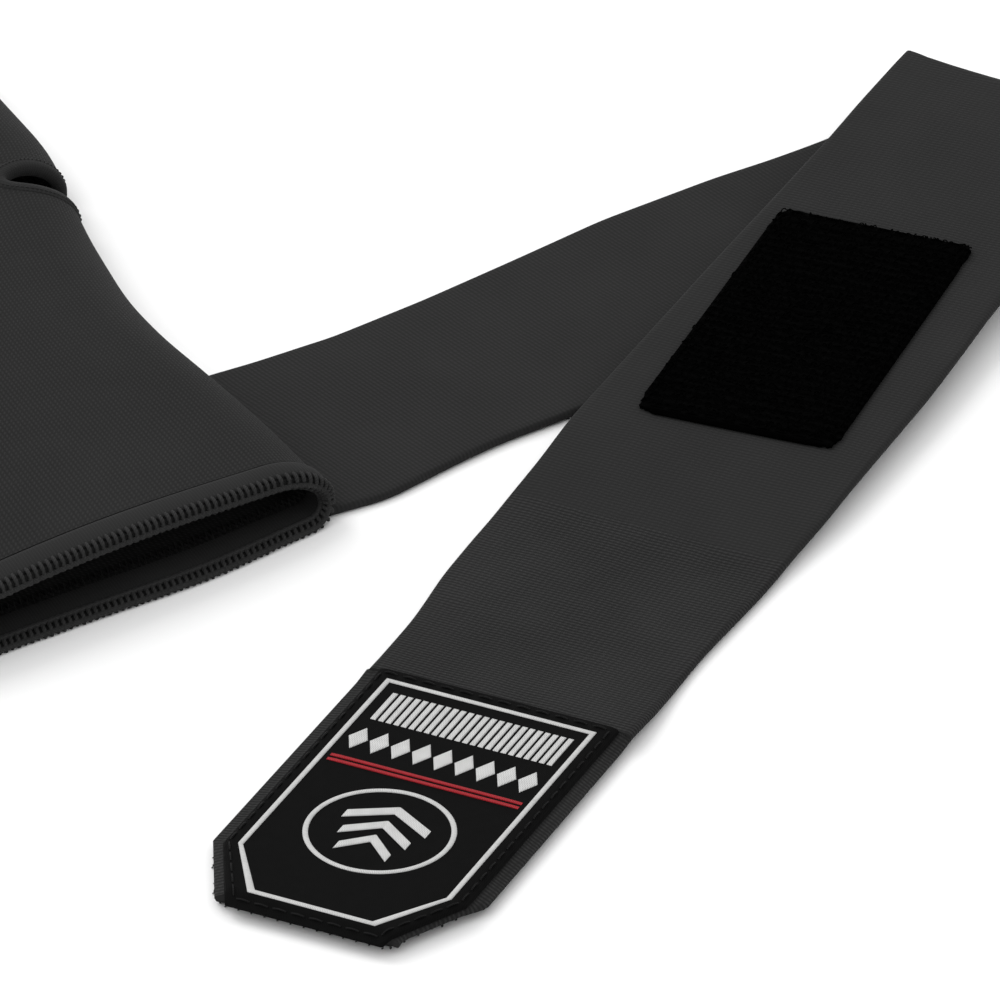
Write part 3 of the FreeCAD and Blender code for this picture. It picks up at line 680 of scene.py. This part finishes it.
def stitch_row(name, a, base):
    """Dashes round the glove at a distance from the cuff, on a surface that stands base above the knit."""
    count, share = 150, 0.62         # stitches, and the share of each one's room that its thread covers
    ring = 2.0 * np.arange(count) / count
    start = np.stack([np.full(count, a), ring], -1)
    end = np.stack([np.full(count, a), ring + 2.0 * share / count], -1)
    return tubes(name, dashes(start, end, 0.3, base), 0.16, 5, overlock_thread)


for name, a, base in (("finger_hem_stitches", 165.2, 0.4), ("finger_hem_stitches_outer", 168.6, 0.38)):
    stretches(stitch_row(name, a, base), slot="overlock_thread")


def thumb_stitches():
    """Dashes along the outline 2.3 mm from the opening's edge."""
    loop = thumb_outline(2.3)[0]
    start, end = loop[::3], np.roll(loop, -2, 0)[::3]
    return tubes("thumb_hem_stitches", dashes(start[:-1], end[:-1], 0.14, 0.26), 0.12, 5, overlock_thread)


stretches(thumb_stitches(), slot="overlock_thread")

# %% [markdown]
# Three webs part the four finger holes. Each is a strip of knit on edge, sewn to the palm and to the back,
# with a rounded front. In plan it is a long rounded outline, carried from the palm's inner face to the
# back's.

# %% Finger webs
web_half, web_reach, web_y = 0.95, 7.4, 77.2     # half thickness, half length, and middle
web_gap = 1.2                    # from a web's ends to the outer faces of palm and back


def add_web(number, x):
    """A rounded outline in plan, repeated at heights from the palm to just inside the back panel."""
    turn = full_turn(48)
    plan_x = x + web_half * squared_off(np.cos(turn), 0.6)
    plan_y = web_y + web_reach * squared_off(np.sin(turn), 0.35)
    flat_half = half_width(plan_y - cuff_y) - back_reach
    roof = glove_skin(plan_y - cuff_y, (1 - back_flat * plan_x / flat_half) / 2)[:, 2] - web_gap
    share = np.linspace(0, 1, 9)[:, None]
    pinch = 1 + 0.25 * np.cos(share * 2 * math.pi)
    points = np.stack([x + (plan_x - x)[None] * pinch, plan_y[None] + 0 * share,
                       web_gap + (roof[None] - web_gap) * share], -1)
    web = add_mesh("finger_web_%d" % number, points, grid_uv(np.linspace(0, 9, 9), np.linspace(0, 34, 49)),
                   hem_knit, close_v=True, caps=True)
    return stretches(web, "finger_divider_%d" % number)


for number, x in enumerate((-23.0, 0.0, 23.0), start=1):
    add_web(number, x)

# %% [markdown]
# The knuckle pad is soft gel under a stretched cover. A pad like this is best made by a cloth simulation: a
# shallow closed form is blown up by a little pressure while its rim stays sewn down, and the result is kept
# with its movement limited. The rim is then covered by a flat sewn edge.

# %% Knuckle pad
pad_half, pad_y, pad_reach = 38.0, 63.0, 15.5
pad_square = 0.42                # power that squares the outline


def pad_outline(turn, inset):
    """A rounded rectangle by angle: cosine and sine raised to a low power, at full size less the inset."""
    x = squared_off(np.cos(turn), pad_square) * (pad_half - inset)
    y = squared_off(np.sin(turn), pad_square) * (pad_reach - inset)
    return x, y + pad_y


def back_point(x, y, rise):
    """A point on the back above a place in plan. The little-finger side mirrors the ring coordinate."""
    a = y - cuff_y
    ring = ring_at(np.abs(x), half_width(a), back_reach, back_flat, True)
    return glove(a, np.where(x < 0, 1 - ring, ring), rise)


def add_pad():
    """Top face: height is the square root of one less the sixth power of the share from the middle.
    Underside: flat on the knit."""
    turn = full_turn(120)
    share = np.concatenate([np.linspace(0.04, 0.8, 12), [0.87, 0.93, 0.97, 1.0]])
    x, y = pad_outline(turn, 2.2)
    grow = np.concatenate([share, share[::-1]])[:, None]
    dome = 2.9 * (1 - share ** 6) ** 0.5
    rise = np.concatenate([dome + 0.1, np.full(len(share), -0.3)])[:, None] + 0 * turn
    points = back_point(x * grow, pad_y + (y - pad_y) * grow, rise)
    uv = wrapped(points[..., 0], points[..., 1])
    return add_mesh("knuckle_pad", points, uv, pad_knit, close_v=True, caps=True)


def swell(piece, pressure, limit, pinned):
    """Cloth under pressure with the pinned vertices held. Each point keeps at most the limit of its way."""
    frames = 18
    mesh = piece.data
    rest = np.array([v.co for v in mesh.vertices])
    group = piece.vertex_groups.new(name="sewn_down")
    group.add([int(i) for i in np.flatnonzero(pinned(rest / MM))], 1.0, "REPLACE")
    cloth = piece.modifiers.new("cloth", "CLOTH")
    settings = cloth.settings
    settings.vertex_group_mass = "sewn_down"
    settings.use_pressure = True
    settings.uniform_pressure_force = pressure
    settings.effector_weights.gravity = 0
    settings.tension_stiffness = settings.compression_stiffness = 8
    settings.quality = 6
    cloth.point_cache.frame_end = frames
    for step in range(1, frames + 1):
        scene.frame_set(step)
    graph = bpy.context.evaluated_depsgraph_get()
    moved = np.array([v.co for v in piece.evaluated_get(graph).data.vertices])
    piece.modifiers.remove(cloth)
    scene.frame_set(1)
    way = moved - rest
    far = np.linalg.norm(way, axis=1, keepdims=True)
    way *= np.minimum(1, limit * MM / np.maximum(far, 1e-9))
    mesh.vertices.foreach_set("co", (rest + way).ravel().astype(np.float32))
    mesh.update()
    print(piece.name, "swelled by up to", round(float(far.max() / MM), 2), "mm, kept", limit)


def near_skin(points):
    """True for points less than 0.9 mm above the glove's back, which stay sewn down."""
    return points[:, 2] < back_point(points[:, 0], points[:, 1], np.zeros(len(points)))[:, 2] + 0.9


knuckle_pad = add_pad()
swell(knuckle_pad, 14.0, 1.2, near_skin)
dress(knuckle_pad, "glove_back", "pad_cover", "knuckle_pad_cover", "gel_pad")

# %% [markdown]
# The pad's rim is a flat band of folded knit, sewn all round with one row of short stitches.

# %% Pad rim
rim_turn = full_turn(240)
rim_profile = [(0.0, -0.2), (0.1, 0.5), (0.8, 0.9), (1.8, 0.95), (2.8, 0.9), (3.4, 0.5), (3.4, -0.2)]
rim_rows = [back_point(*pad_outline(rim_turn, d), np.full(240, h)) for d, h in rim_profile]
rim_uv = grid_uv(np.linspace(0, 8, 8), np.linspace(0, 200, 241))
pad_rim = add_mesh("knuckle_pad_rim", np.stack(rim_rows), rim_uv, hem_knit, close_u=True, close_v=True)
dress(pad_rim, "glove_back", "hem", "knuckle_pad_seam")
stitch_turn = full_turn(96)[:, None] + np.linspace(0, 0.04, 5)[None]
lift = 0.9 + 0.22 * np.sin(np.linspace(0, math.pi, 5))[None] + 0 * stitch_turn
pad_stitches = tubes("knuckle_pad_stitches", back_point(*pad_outline(stitch_turn, 1.5), lift), 0.16, 5,
                     overlock_thread)
dress(pad_stitches, "glove_back", "overlock_thread")

# %% [markdown]
# The strap is one long ribbon: it lies flat, turns over in a loose loop and comes back on top of itself.
# One function gives its middle surface for any distance along and across. The turn is a half circle whose
# line is slanted, because the upper run leaves at another angle. Hinges give the places and directions.

# %% Strap surface
hinges = {joint["name"]: joint for joint in frame["joints"]}


def hinge_place(name):
    """The hinge's point in mm and the direction across its line, towards the strap's tip."""
    axis = hinges[name]["axis"]
    return np.array(hinges[name]["pos_m"]) / MM, np.array([-axis[1], axis[0], 0.0])


root, lower_way = hinge_place("strap_lift")
upper_way = hinge_place("tab_peel")[1]
loop_top = hinge_place("loop_opening")[0]
lower_side = np.array([-lower_way[1], lower_way[0], 0.0])
upper_side = np.array([upper_way[1], -upper_way[0], 0.0])
lower_length = 160.5
loop_middle = 3.2                # radius of the strap's middle surface in the loop
strap_wall = 1.6
loop_run = math.pi * loop_middle
crease_way = unit(lower_way - upper_way)
crease_tangent = math.tan(math.acos(float(np.clip(lower_way @ crease_way, -1, 1))))
upper_start = lower_length + loop_run
loop_square = 0.7                # power that squares the loop a little
rise_line = smooth_line([-40, 0, 90, 128, 156, 190, 209, 320],
                        [6.4, 6.4, 3.6, 2.5, 0.05, 0.05, 1.6, 1.6], 9)


def strap_middle(p, n):
    """p runs along the strap from the root hinge and n across it. Before the slanted crease the point lies on
    the lower run. Then it goes over in a half circle, squared a little by a power of sine and cosine, and
    after that it lies on the upper run, at that run's height."""
    p, n = np.broadcast_arrays(np.asarray(p, float), np.asarray(n, float))
    past = p - lower_length + n * crease_tangent
    share = np.clip(past / loop_run, 0, 1)[..., None]
    low = root * [1, 1, 0] + lower_way * np.minimum(p, lower_length - n * crease_tangent)[..., None]
    low = low + lower_side * n[..., None]
    s = p - upper_start
    s_held = np.maximum(s, -n * crease_tangent)
    high = loop_top * [1, 1, 0] + upper_way * s_held[..., None] + upper_side * n[..., None]
    soft = share * share * (3 - 2 * share)
    bulge = loop_middle + np.clip(0.6 - 0.24 * (n - 5.0), -3.0, 1.5)[..., None]
    cosine, sine = np.cos(share * math.pi), np.maximum(np.sin(share * math.pi), 0)
    flat = low + (high - low) * soft + crease_way * bulge * sine ** loop_square
    level = squared_off(cosine, loop_square)[..., 0]
    ramp = (rise_line(s) - rise_line(-20.0)) * (share[..., 0] >= 1)
    z = strap_wall / 2 + loop_middle * (1 - level) + ramp
    ripple = 0.22 * np.sin(p / 15.0 + 1.3) * np.cos(n / 14.0) + 0.16 * np.sin(p / 27.0 + n / 9.0)
    hushed = np.clip((196 - s) / 20, 0, 1) * np.clip((p + 4) / 20, 0, 1)
    hushed = hushed * np.clip(np.abs(p - 166) / 12 - 0.6, 0, 1)
    return flat + np.stack([0 * z, 0 * z, z + (ripple + 0.36) * hushed * 0.8], -1)


def strap_point(p, n, rise=0.0):
    """The middle surface moved along its normal, which points down below the loop and up above it."""
    along = strap_middle(p + 0.2, n) - strap_middle(p - 0.2, n)
    sideways = strap_middle(p, n + 0.2) - strap_middle(p, n - 0.2)
    return strap_middle(p, n) + unit(np.cross(sideways, along)) * np.asarray(rise)[..., None]


print("strap turns over at", np.round(strap_middle(lower_length + loop_run / 2, 0.0), 1), "mm")

# %% [markdown]
# Elastic webbing never has quite straight edges: it draws in where it is stretched and relaxes elsewhere.
# Two curves give the distance of each edge from the middle line. The ribbon's section is a flat oval, two
# straight faces joined by half circles, and is carried along the strap between those edges.

# %% Strap pieces
plus_stops = {-17: 24.5, -5: 24.3, 5: 22.6, 20: 21.0, 40: 21.5, 61: 22.8, 81: 24.2, 105: 23.6, 117: 22.5,
              127: 22.1, 145: 22.4, 154: 24.5, 170: 24.9, 198: 25.0, 245: 26.4, 297: 27.4, 310: 27.1,
              322: 27.3, 335: 27.2, 348: 26.8, 361: 25.5, 377: 24.4, 404: 24.1, 480: 24.7}
minus_stops = {-17: 23.0, -2: 25.4, 14: 23.6, 24: 22.9, 39: 23.3, 60: 22.7, 80: 22.9, 100: 23.6, 160: 23.9,
               170: 24.7, 210: 23.6, 238: 23.7, 252: 24.3, 266: 24.7, 293: 24.4, 306: 24.2, 318: 23.4,
               330: 23.0, 351: 22.0, 358: 22.1, 372: 22.8, 480: 22.8}
edge_plus = smooth_line(list(plus_stops), list(plus_stops.values()), 6)
edge_minus = smooth_line(list(minus_stops), list(minus_stops.values()), 6)
half_turn = np.linspace(0, math.pi, 7)


def ribbon_section(flat_points):
    """Places round a flat oval: share of the way across (-1 to 1), and the rounding's cosine and height."""
    share = np.linspace(-1, 1, flat_points)
    across_share = np.concatenate([share, np.ones(5), share[::-1], -np.ones(5)])
    bulge = np.concatenate([0 * share, np.sin(half_turn[1:-1]), 0 * share, -np.sin(half_turn[1:-1])])
    level = np.concatenate([0 * share + 1, np.cos(half_turn[1:-1]), 0 * share - 1, -np.cos(half_turn[1:-1])])
    return across_share, bulge, level


def add_ribbon(name, p, material):
    """Carries the flat oval along the strap between its two edge curves."""
    across_share, bulge, level = ribbon_section(44)
    p = np.asarray(p, float)[:, None]
    high, low = edge_plus(p), edge_minus(p)
    corner = strap_wall / 2
    n = (high - low) / 2 + across_share * ((high + low) / 2 - corner) + bulge * corner
    points = strap_point(p + 0 * n, n, corner * level + 0 * n)
    return add_mesh(name, points, wrapped(n, p + 0 * n), material, close_v=True, caps=True)


def steps(first, last, pitch=1.6):
    """Equal steps along the strap of about that pitch."""
    return np.linspace(first, last, int((last - first) / pitch) + 1)


strap_start = add_ribbon("strap_start", steps(-13.0, 62.0), strap_webbing)
strap_flat = add_ribbon("strap_flat", steps(62.0, 122.0), strap_webbing)
turn_steps = np.concatenate([steps(122, 150), steps(151, 182, 0.45), steps(183.5, upper_start + 30)])
strap_turn = add_ribbon("strap_turn", turn_steps, strap_webbing)
strap_over = add_ribbon("strap_over", steps(upper_start + 30, upper_start + 150), strap_webbing)
strap_ribbed = add_ribbon("strap_ribbed", steps(upper_start + 150, upper_start + 187), ribbed_webbing)


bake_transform(strap_start)
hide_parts("strap_root", "strap_lower_run")
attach(strap_flat, "strap_lower")
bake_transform(strap_turn)
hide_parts("strap_loop")
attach(strap_over, "strap_upper")
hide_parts("strap_upper_run")
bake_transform(strap_ribbed)
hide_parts("strap_end_run")

# %% [markdown]
# The strap's root is held by two rows of bar tacks, close to the glove. Each tack is one dash of thread.

# %% Bar tacks at the root
tack_n = np.arange(-19, 19.1, 3.4)[:, None] + np.linspace(-1.1, 1.1, 5)[None]
tack_lift = -0.68 - 0.08 * np.sin(np.linspace(0, math.pi, 5))[None] + 0 * tack_n
tack_rows = [strap_point(np.full(tack_n.shape, p), tack_n, tack_lift) for p in (-3.4, -5.2)]
tacks = tubes("root_tacks", np.concatenate(tack_rows), 0.12, 5, overlock_thread)
dress(tacks, "glove", "strap_thread", "strap_root_stitching")

# %% [markdown]
# Loop pile is a backing covered with tiny loops of yarn. The backing is a soft-cornered slab laid on the
# strap. The loops are one arch each, turned at random and set in rows, and those at the edge give it its
# fuzzy outline. They are many, so each arch has only a few faces.

# %% Loop patch
patch_s, patch_n, patch_turn = 85.4, 2.5, math.radians(-3.4)
patch_size = np.array([68.2, 35.6])
patch_square = 0.09              # power that squares the patch's outline
pile_pitch = 2.2                 # distance between rows of pile


def on_patch(u, v, rise):
    """u along and v across the patch from its middle, turned a little, on the strap's upper face."""
    s = patch_s + u * math.cos(patch_turn) - v * math.sin(patch_turn)
    n = patch_n + u * math.sin(patch_turn) + v * math.cos(patch_turn)
    return strap_point(upper_start + s, n, np.asarray(rise) + strap_wall / 2)


def add_patch_backing():
    """Rings from the middle to a rounded rectangle and back beneath: height falls near the edge."""
    turn = full_turn(200)
    u = squared_off(np.cos(turn), patch_square) * patch_size[0] / 2
    v = squared_off(np.sin(turn), patch_square) * patch_size[1] / 2
    ragged = 1 + 0.006 * np.sin(turn * 9 + 1) + 0.004 * np.sin(turn * 23)
    grow = np.concatenate([np.linspace(0.04, 0.9, 22), [0.95, 0.98, 1.0, 1.0, 0.97, 0.5, 0.04]])[:, None]
    rise = np.concatenate([np.full(22, 0.95), [0.9, 0.8, 0.6, 0.2, 0.02, 0.0, 0.0]])[:, None]
    u, v = u * ragged * grow, v * ragged * grow
    rows = 0.1 * np.sin(u * 2 * math.pi / pile_pitch + 0.7 * np.sin(v / 4)) * (rise > 0.5)
    points = on_patch(u, v, rise + rows)
    return add_mesh("loop_patch_backing", points, wrapped(v, u), loop_pile, close_v=True, caps=True)


def add_patch_loops():
    """Arches: a half circle from foot to foot, with the feet a random way round their middle."""
    u, v = np.meshgrid(np.arange(-33.0, 33.1, 1.05), np.arange(-17.0, 17.1, 1.0), indexing="ij")
    u, v = u.ravel() + rng.normal(0, 0.22, u.size), v.ravel() + rng.normal(0, 0.22, v.size)
    way = rng.uniform(0, math.pi, u.size)
    t = np.linspace(-1, 1, 5)
    row = 0.75 + 0.25 * np.cos(2 * math.pi * u / pile_pitch + 0.6 * np.sin(v / 4))
    reach, height = rng.uniform(0.35, 0.6, u.size), rng.uniform(0.4, 0.62, u.size) * row
    rise = 0.7 + height[:, None] * np.sqrt(1 - t[None] ** 2 * 0.999)
    path = on_patch(u[:, None] + reach[:, None] * t * np.cos(way)[:, None],
                    v[:, None] + reach[:, None] * t * np.sin(way)[:, None], rise)
    return tubes("loop_patch_loops", path, 0.13, 3, loop_pile, caps=False)


patch = add_patch_backing()
patch_loops = add_patch_loops()
half_dash = sewn_inset = 1.1     # half a stitch's length, and the seam's distance from the edge
sewn_half = patch_size / 2 - sewn_inset
long_side = np.array([(x, side * sewn_half[1]) for side in (-1, 1) for x in np.arange(-30.5, 30.6, 3.2)])
short_side = np.array([(side * sewn_half[0], x) for side in (-1, 1) for x in np.arange(-14.5, 14.6, 3.2)])
dash = np.linspace(-half_dash, half_dash, 5)
sewn_u = np.concatenate([long_side[:, :1] + dash, short_side[:, :1] + 0 * dash])
sewn_v = np.concatenate([long_side[:, 1:] + 0 * dash, short_side[:, 1:] + dash])
sewn_rise = 0.85 + 0.15 * np.cos(dash / half_dash * math.pi / 2) + 0 * sewn_u
patch_sewing = tubes("loop_patch_sewing", on_patch(sewn_u, sewn_v, sewn_rise), 0.16, 5, loop_pile)
dress(patch, "strap_upper", "loop_pile", "loop_patch")
dress(patch_loops, "strap_upper", "loop_pile")
dress(patch_sewing, "strap_upper", "strap_thread", "loop_patch_stitching")

# %% [markdown]
# The closure tab is three layers sewn together: hook tape, strap and label. The sewing presses their rim
# down, so every layer's height is multiplied by the same factor, one inside and less near the outline. The
# outline is straight-sided with a blunt point.

# %% Tab layers
tab_s = 208.0
label_n, label_half = 0.8, 21.5
label_first, label_last = tab_s + 1.8, tab_s + 1.8 + 71.0
point_length, point_inset = 14.6, 7.6
rim_loss, rim_width = 0.36, 3.6  # share of the height lost at the rim, and how far in the sewing reaches


def shield_edge(half, last):
    """Distance of an edge from the middle line: straight, then drawing in over the point's length."""
    return lambda s: half - point_inset * np.clip((s - (last - point_length)) / point_length, 0, 1)


def press(s, n):
    """How far the sewing leaves the layers standing: 1 inside, 0.64 at the outline, smooth between."""
    side = shield_edge(label_half + 1.6, label_last + 0.3)(s) - np.abs(n - label_n)
    near = np.clip(np.minimum(side, label_last + 0.4 - s) / rim_width, 0, 1)
    near = near * near * (3 - 2 * near)
    fade = np.clip((s - 203) / 10, 0, 1)
    return 1 - rim_loss * (1 - near) ** 1.5 * fade


def on_tab(s, n, z):
    """A point of the tab: s from the loop, n across, z the layer's unpressed height."""
    s, n, z = np.broadcast_arrays(s, n, z)
    flat = loop_top * [1, 1, 0] + upper_way * s[..., None] + upper_side * n[..., None]
    return flat + np.stack([0 * z, 0 * z, z * press(s, n)], -1)


def add_layer(name, s, low, high, plus, minus, material, rounding, flat_points=40):
    """A flat oval section between two heights, carried along the tab between two edges."""
    across_share, bulge, level = ribbon_section(flat_points)
    s = np.asarray(s, float)[:, None]
    n = (plus(s) - minus(s)) / 2 + across_share * ((plus(s) + minus(s)) / 2 - rounding) + bulge * rounding
    points = on_tab(s, n, (high + low) / 2 + level * (high - low) / 2)
    return add_mesh(name, points, wrapped(n, s + upper_start + 0 * n), material, close_v=True, caps=True)


tab_steps = np.concatenate([steps(upper_start + 187, upper_start + tab_s - 5, 0.8),
                            steps(upper_start + tab_s - 4.6, upper_start + tab_s + 1.5, 0.35)])
tab_plus = shield_edge(label_half + label_n + 2.7, label_last - 1.8)
tab_minus = shield_edge(label_half - label_n + 1.9, label_last - 3.6)
strap_rise = add_ribbon("strap_rise", tab_steps, ribbed_webbing)
tab_cloth = add_layer("tab_cloth", steps(tab_s + 1.2, label_last - 2.0, 1.2), 1.6, 3.2,
                      tab_plus, tab_minus, ribbed_webbing, 0.7)
hook_base = add_layer("hook_tape_base", steps(tab_s + 1.2, label_last - 2.6, 1.2), 0.75, 1.6,
                      shield_edge(label_half + label_n + 2.9, label_last - 2.6),
                      shield_edge(label_half - label_n + 0.4, label_last - 3.6), hook_nylon, 0.4)
label_face = add_layer("label_face", steps(label_first, label_last, 0.8), 3.15, 3.85,
                       shield_edge(label_half + label_n, label_last),
                       shield_edge(label_half - label_n, label_last), label_satin, 0.35, 60)
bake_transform(strap_rise)
dress(tab_cloth, "closure_tab", "strap_elastic", "closure_tab")
dress(hook_base, "closure_tab", "hook_tape", "hook_tape")
dress(label_face, "closure_tab", "label_ground", "label")

# %% [markdown]
# Hook tape's underside is a field of small stiff hooks. Each is a short arch leaning along the tape, and
# the outermost ones show as a fine ribbed edge beside the label.

# %% Hooks
def add_hooks():
    """Hooks in rows: a path that rises from the base, leans and curls back, in six points."""
    s, n = np.meshgrid(np.arange(tab_s + 2.5, label_last - 2.6, 1.3), np.arange(-22.2, 25.0, 1.15),
                       indexing="ij")
    s, n = s.ravel(), n.ravel()
    inside = (n < shield_edge(label_half + label_n + 3.1, label_last - 2.4)(s)) & (
        n > -shield_edge(label_half - label_n + 0.3, label_last - 3.4)(s))
    s, n = s[inside, None], n[inside, None]
    path = np.array([(0.0, 0.85), (0.02, 0.45), (0.12, 0.15), (0.32, 0.08), (0.48, 0.2), (0.5, 0.36)])
    lean = np.where(np.arange(len(s)) % 2, 1.0, -1.0)[:, None]
    places = on_tab(s + path[:, 0] * lean, n + 0 * path[:, 0], path[:, 1])
    return tubes("hook_tape_hooks", places, 0.12, 4, hook_nylon)


dress(add_hooks(), "closure_tab", "hook_tape")

# %% [markdown]
# The label's figures are floats of thread, so each stands a little proud with rounded edges. A pillow over
# an outline does for all of them: rings from the middle to the outline, whose height falls at the edge. The
# border and the badge's ring are narrow bands carried round their outlines.

# %% Label figures
label_top, thread_height = 3.85, 0.2


def pillows(name, outlines, material):
    """k outlines of m points in (s, n): rings shrink towards each middle, and the height falls in steps at
    the outline and goes under the label's face."""
    outlines = np.asarray(outlines, float)
    middle = outlines.mean(1, keepdims=True)
    share = np.array([0.05, 0.5, 0.8, 0.93, 1.0, 1.0, 0.05])[:, None, None]
    rise = np.array([1.0, 1.0, 0.95, 0.7, 0.3, -0.5, -0.5])[:, None] * thread_height
    at = middle[:, None] + (outlines - middle)[:, None] * share[None]
    points = on_tab(at[..., 0], at[..., 1], label_top + rise[None] + 0 * at[..., 0])
    uv = np.concatenate([at, at[:, :, :1]], 2)[..., ::-1]
    return add_mesh(name, points, uv, material, close_v=True, caps=True)


def copies(outline, s, n):
    """The outline repeated, moved to each place."""
    return outline[None] + np.stack(np.broadcast_arrays(s, n), -1)[:, None]


def fine_outline(corners, each=6):
    """A closed outline through corners with extra points on its straight sides."""
    corners = np.asarray(corners, float)
    t = np.arange(each)[:, None] / each
    following = np.roll(corners, -1, 0)
    return (corners[:, None] + (following - corners)[:, None] * t[None]).reshape(-1, 2)


def label_ring(inset):
    """The label's outline moved in by an inset, as (s, n) corners."""
    first, last, half = label_first + inset, label_last - inset, label_half - inset
    shoulder = label_last - point_length
    tip = half - point_inset
    return [(first, label_n - half), (shoulder, label_n - half), (last, label_n - tip), (last, label_n + tip),
            (shoulder, label_n + half), (first, label_n + half)]


def band(name, inner, outer, material):
    """A narrow raised band between two outlines of equal counts: its height is a low dome across."""
    share = np.array([0.0, 0.12, 0.5, 0.88, 1.0, 1.0, 0.0])[:, None, None]
    rise = np.array([0.2, 0.8, 1.0, 0.8, 0.2, -0.6, -0.6])[:, None] * thread_height
    at = inner[None] + (outer - inner)[None] * share
    points = on_tab(at[..., 0], at[..., 1], label_top + rise + 0 * at[..., 0])
    uv = grid_uv(np.linspace(0, 2, 8), walk_along(outer))[..., ::-1]
    return add_mesh(name, points, uv, material, close_u=True, close_v=True)


print("label, mm:", round(label_last - label_first, 1), "by", 2 * label_half)

# %% [markdown]
# The border follows the label's outline and the ring is a plain circle. Above it stand a bar of upright
# stripes, a row of lozenges and a double red line, and inside it three chevrons. All are plain geometry.

# %% Border, ring, bar, lozenges and chevrons
border = band("label_border_thread", fine_outline(label_ring(3.6), 30), fine_outline(label_ring(2.7), 30),
              silver_thread)
turn = full_turn(160)
circle = np.stack([np.cos(turn), np.sin(turn)], -1)
badge = np.array([label_first + 43.7, label_n])
badge_ring = band("label_ring_thread", badge + circle * 11.4, badge + circle * 12.3, silver_thread)
stripe_count, bar_width, bar_length, stripe_half = 24, 32.8, 8.5, 0.46
stripe_n = label_n - bar_width / 2 + (np.arange(stripe_count) + 0.31) * bar_width / stripe_count
first, last = label_first + 6.2, label_first + 6.2 + bar_length
stripe = fine_outline([(first, -stripe_half), (last, -stripe_half),
                       (last, stripe_half), (first, stripe_half)])
stripes = pillows("label_stripes_thread", copies(stripe, 0, stripe_n), silver_thread)
lozenge_count, line_half = 9, 17
lozenge_n = label_n - line_half + (np.arange(lozenge_count) + 0.5) * 2 * line_half / lozenge_count
first, middle, last = label_first + 17.4, label_first + 20.7, label_first + 24.0
lozenge = fine_outline([(first, 0), (middle, -1.7), (last, 0), (middle, 1.7)])
lozenges = pillows("label_lozenges_thread", copies(lozenge, 0, lozenge_n), silver_thread)
line_s = label_first + 26.5 + np.array([0.0, 1.3])
line = fine_outline([(0, -line_half), (0.7, -line_half), (0.7, line_half), (0, line_half)], 20)
line = line + [0, label_n]
red_lines = pillows("label_double_line_thread", copies(line, line_s, 0), red_thread)
chevrons = []
for number in range(3):
    first, half = badge[0] - 7.6 + number * 4.4, 7.4 - number * 1.4
    for side in (-1, 1):
        end = label_n + side * half
        chevrons.append(fine_outline([(first, label_n), (first + 2.2, label_n), (first + 6.4, end),
                                      (first + 4.2, end)], 8))
chevron_piece = pillows("label_chevrons_thread", chevrons, silver_thread)
print("label figures:", stripe_count, "stripes,", lozenge_count, "lozenges,", len(chevrons), "chevron arms")

# %% [markdown]
# A running stitch in black thread holds the label down, just inside its edge. Each side of the outline gets
# a whole number of stitches, so that one starts at every corner.

# %% Label sewing
sewing = np.array(label_ring(1.1))
sides = np.roll(sewing, -1, 0) - sewing
run = np.linalg.norm(sides, axis=1)
count = np.round(run / 3.3).astype(int)
starts = np.concatenate([corner + side * np.arange(n)[:, None] / n
                         for corner, side, n in zip(sewing, sides, count)])
ways = np.repeat(sides / run[:, None], count, 0)
along_dash = starts[:, None] + ways[:, None] * np.linspace(0.4, 2.7, 5)[None, :, None]
dash_z = label_top + thread_height * np.sin(np.linspace(0, math.pi, 5))[None] + 0 * along_dash[..., 0]
label_sewing = tubes("label_sewing", on_tab(along_dash[..., 0], along_dash[..., 1], dash_z), 0.17, 5,
                     black_thread_and_painted_shade)
for piece, node in ((border, "label_border"), (badge_ring, "label_ring"), (stripes, "label_striped_bar"),
                    (lozenges, "label_lozenges"), (chevron_piece, "label_chevrons")):
    dress(piece, "closure_tab", "label_white", node)
dress(red_lines, "closure_tab", "label_red", "label_double_line")
dress(label_sewing, "closure_tab", "label_ground", "label_stitching")
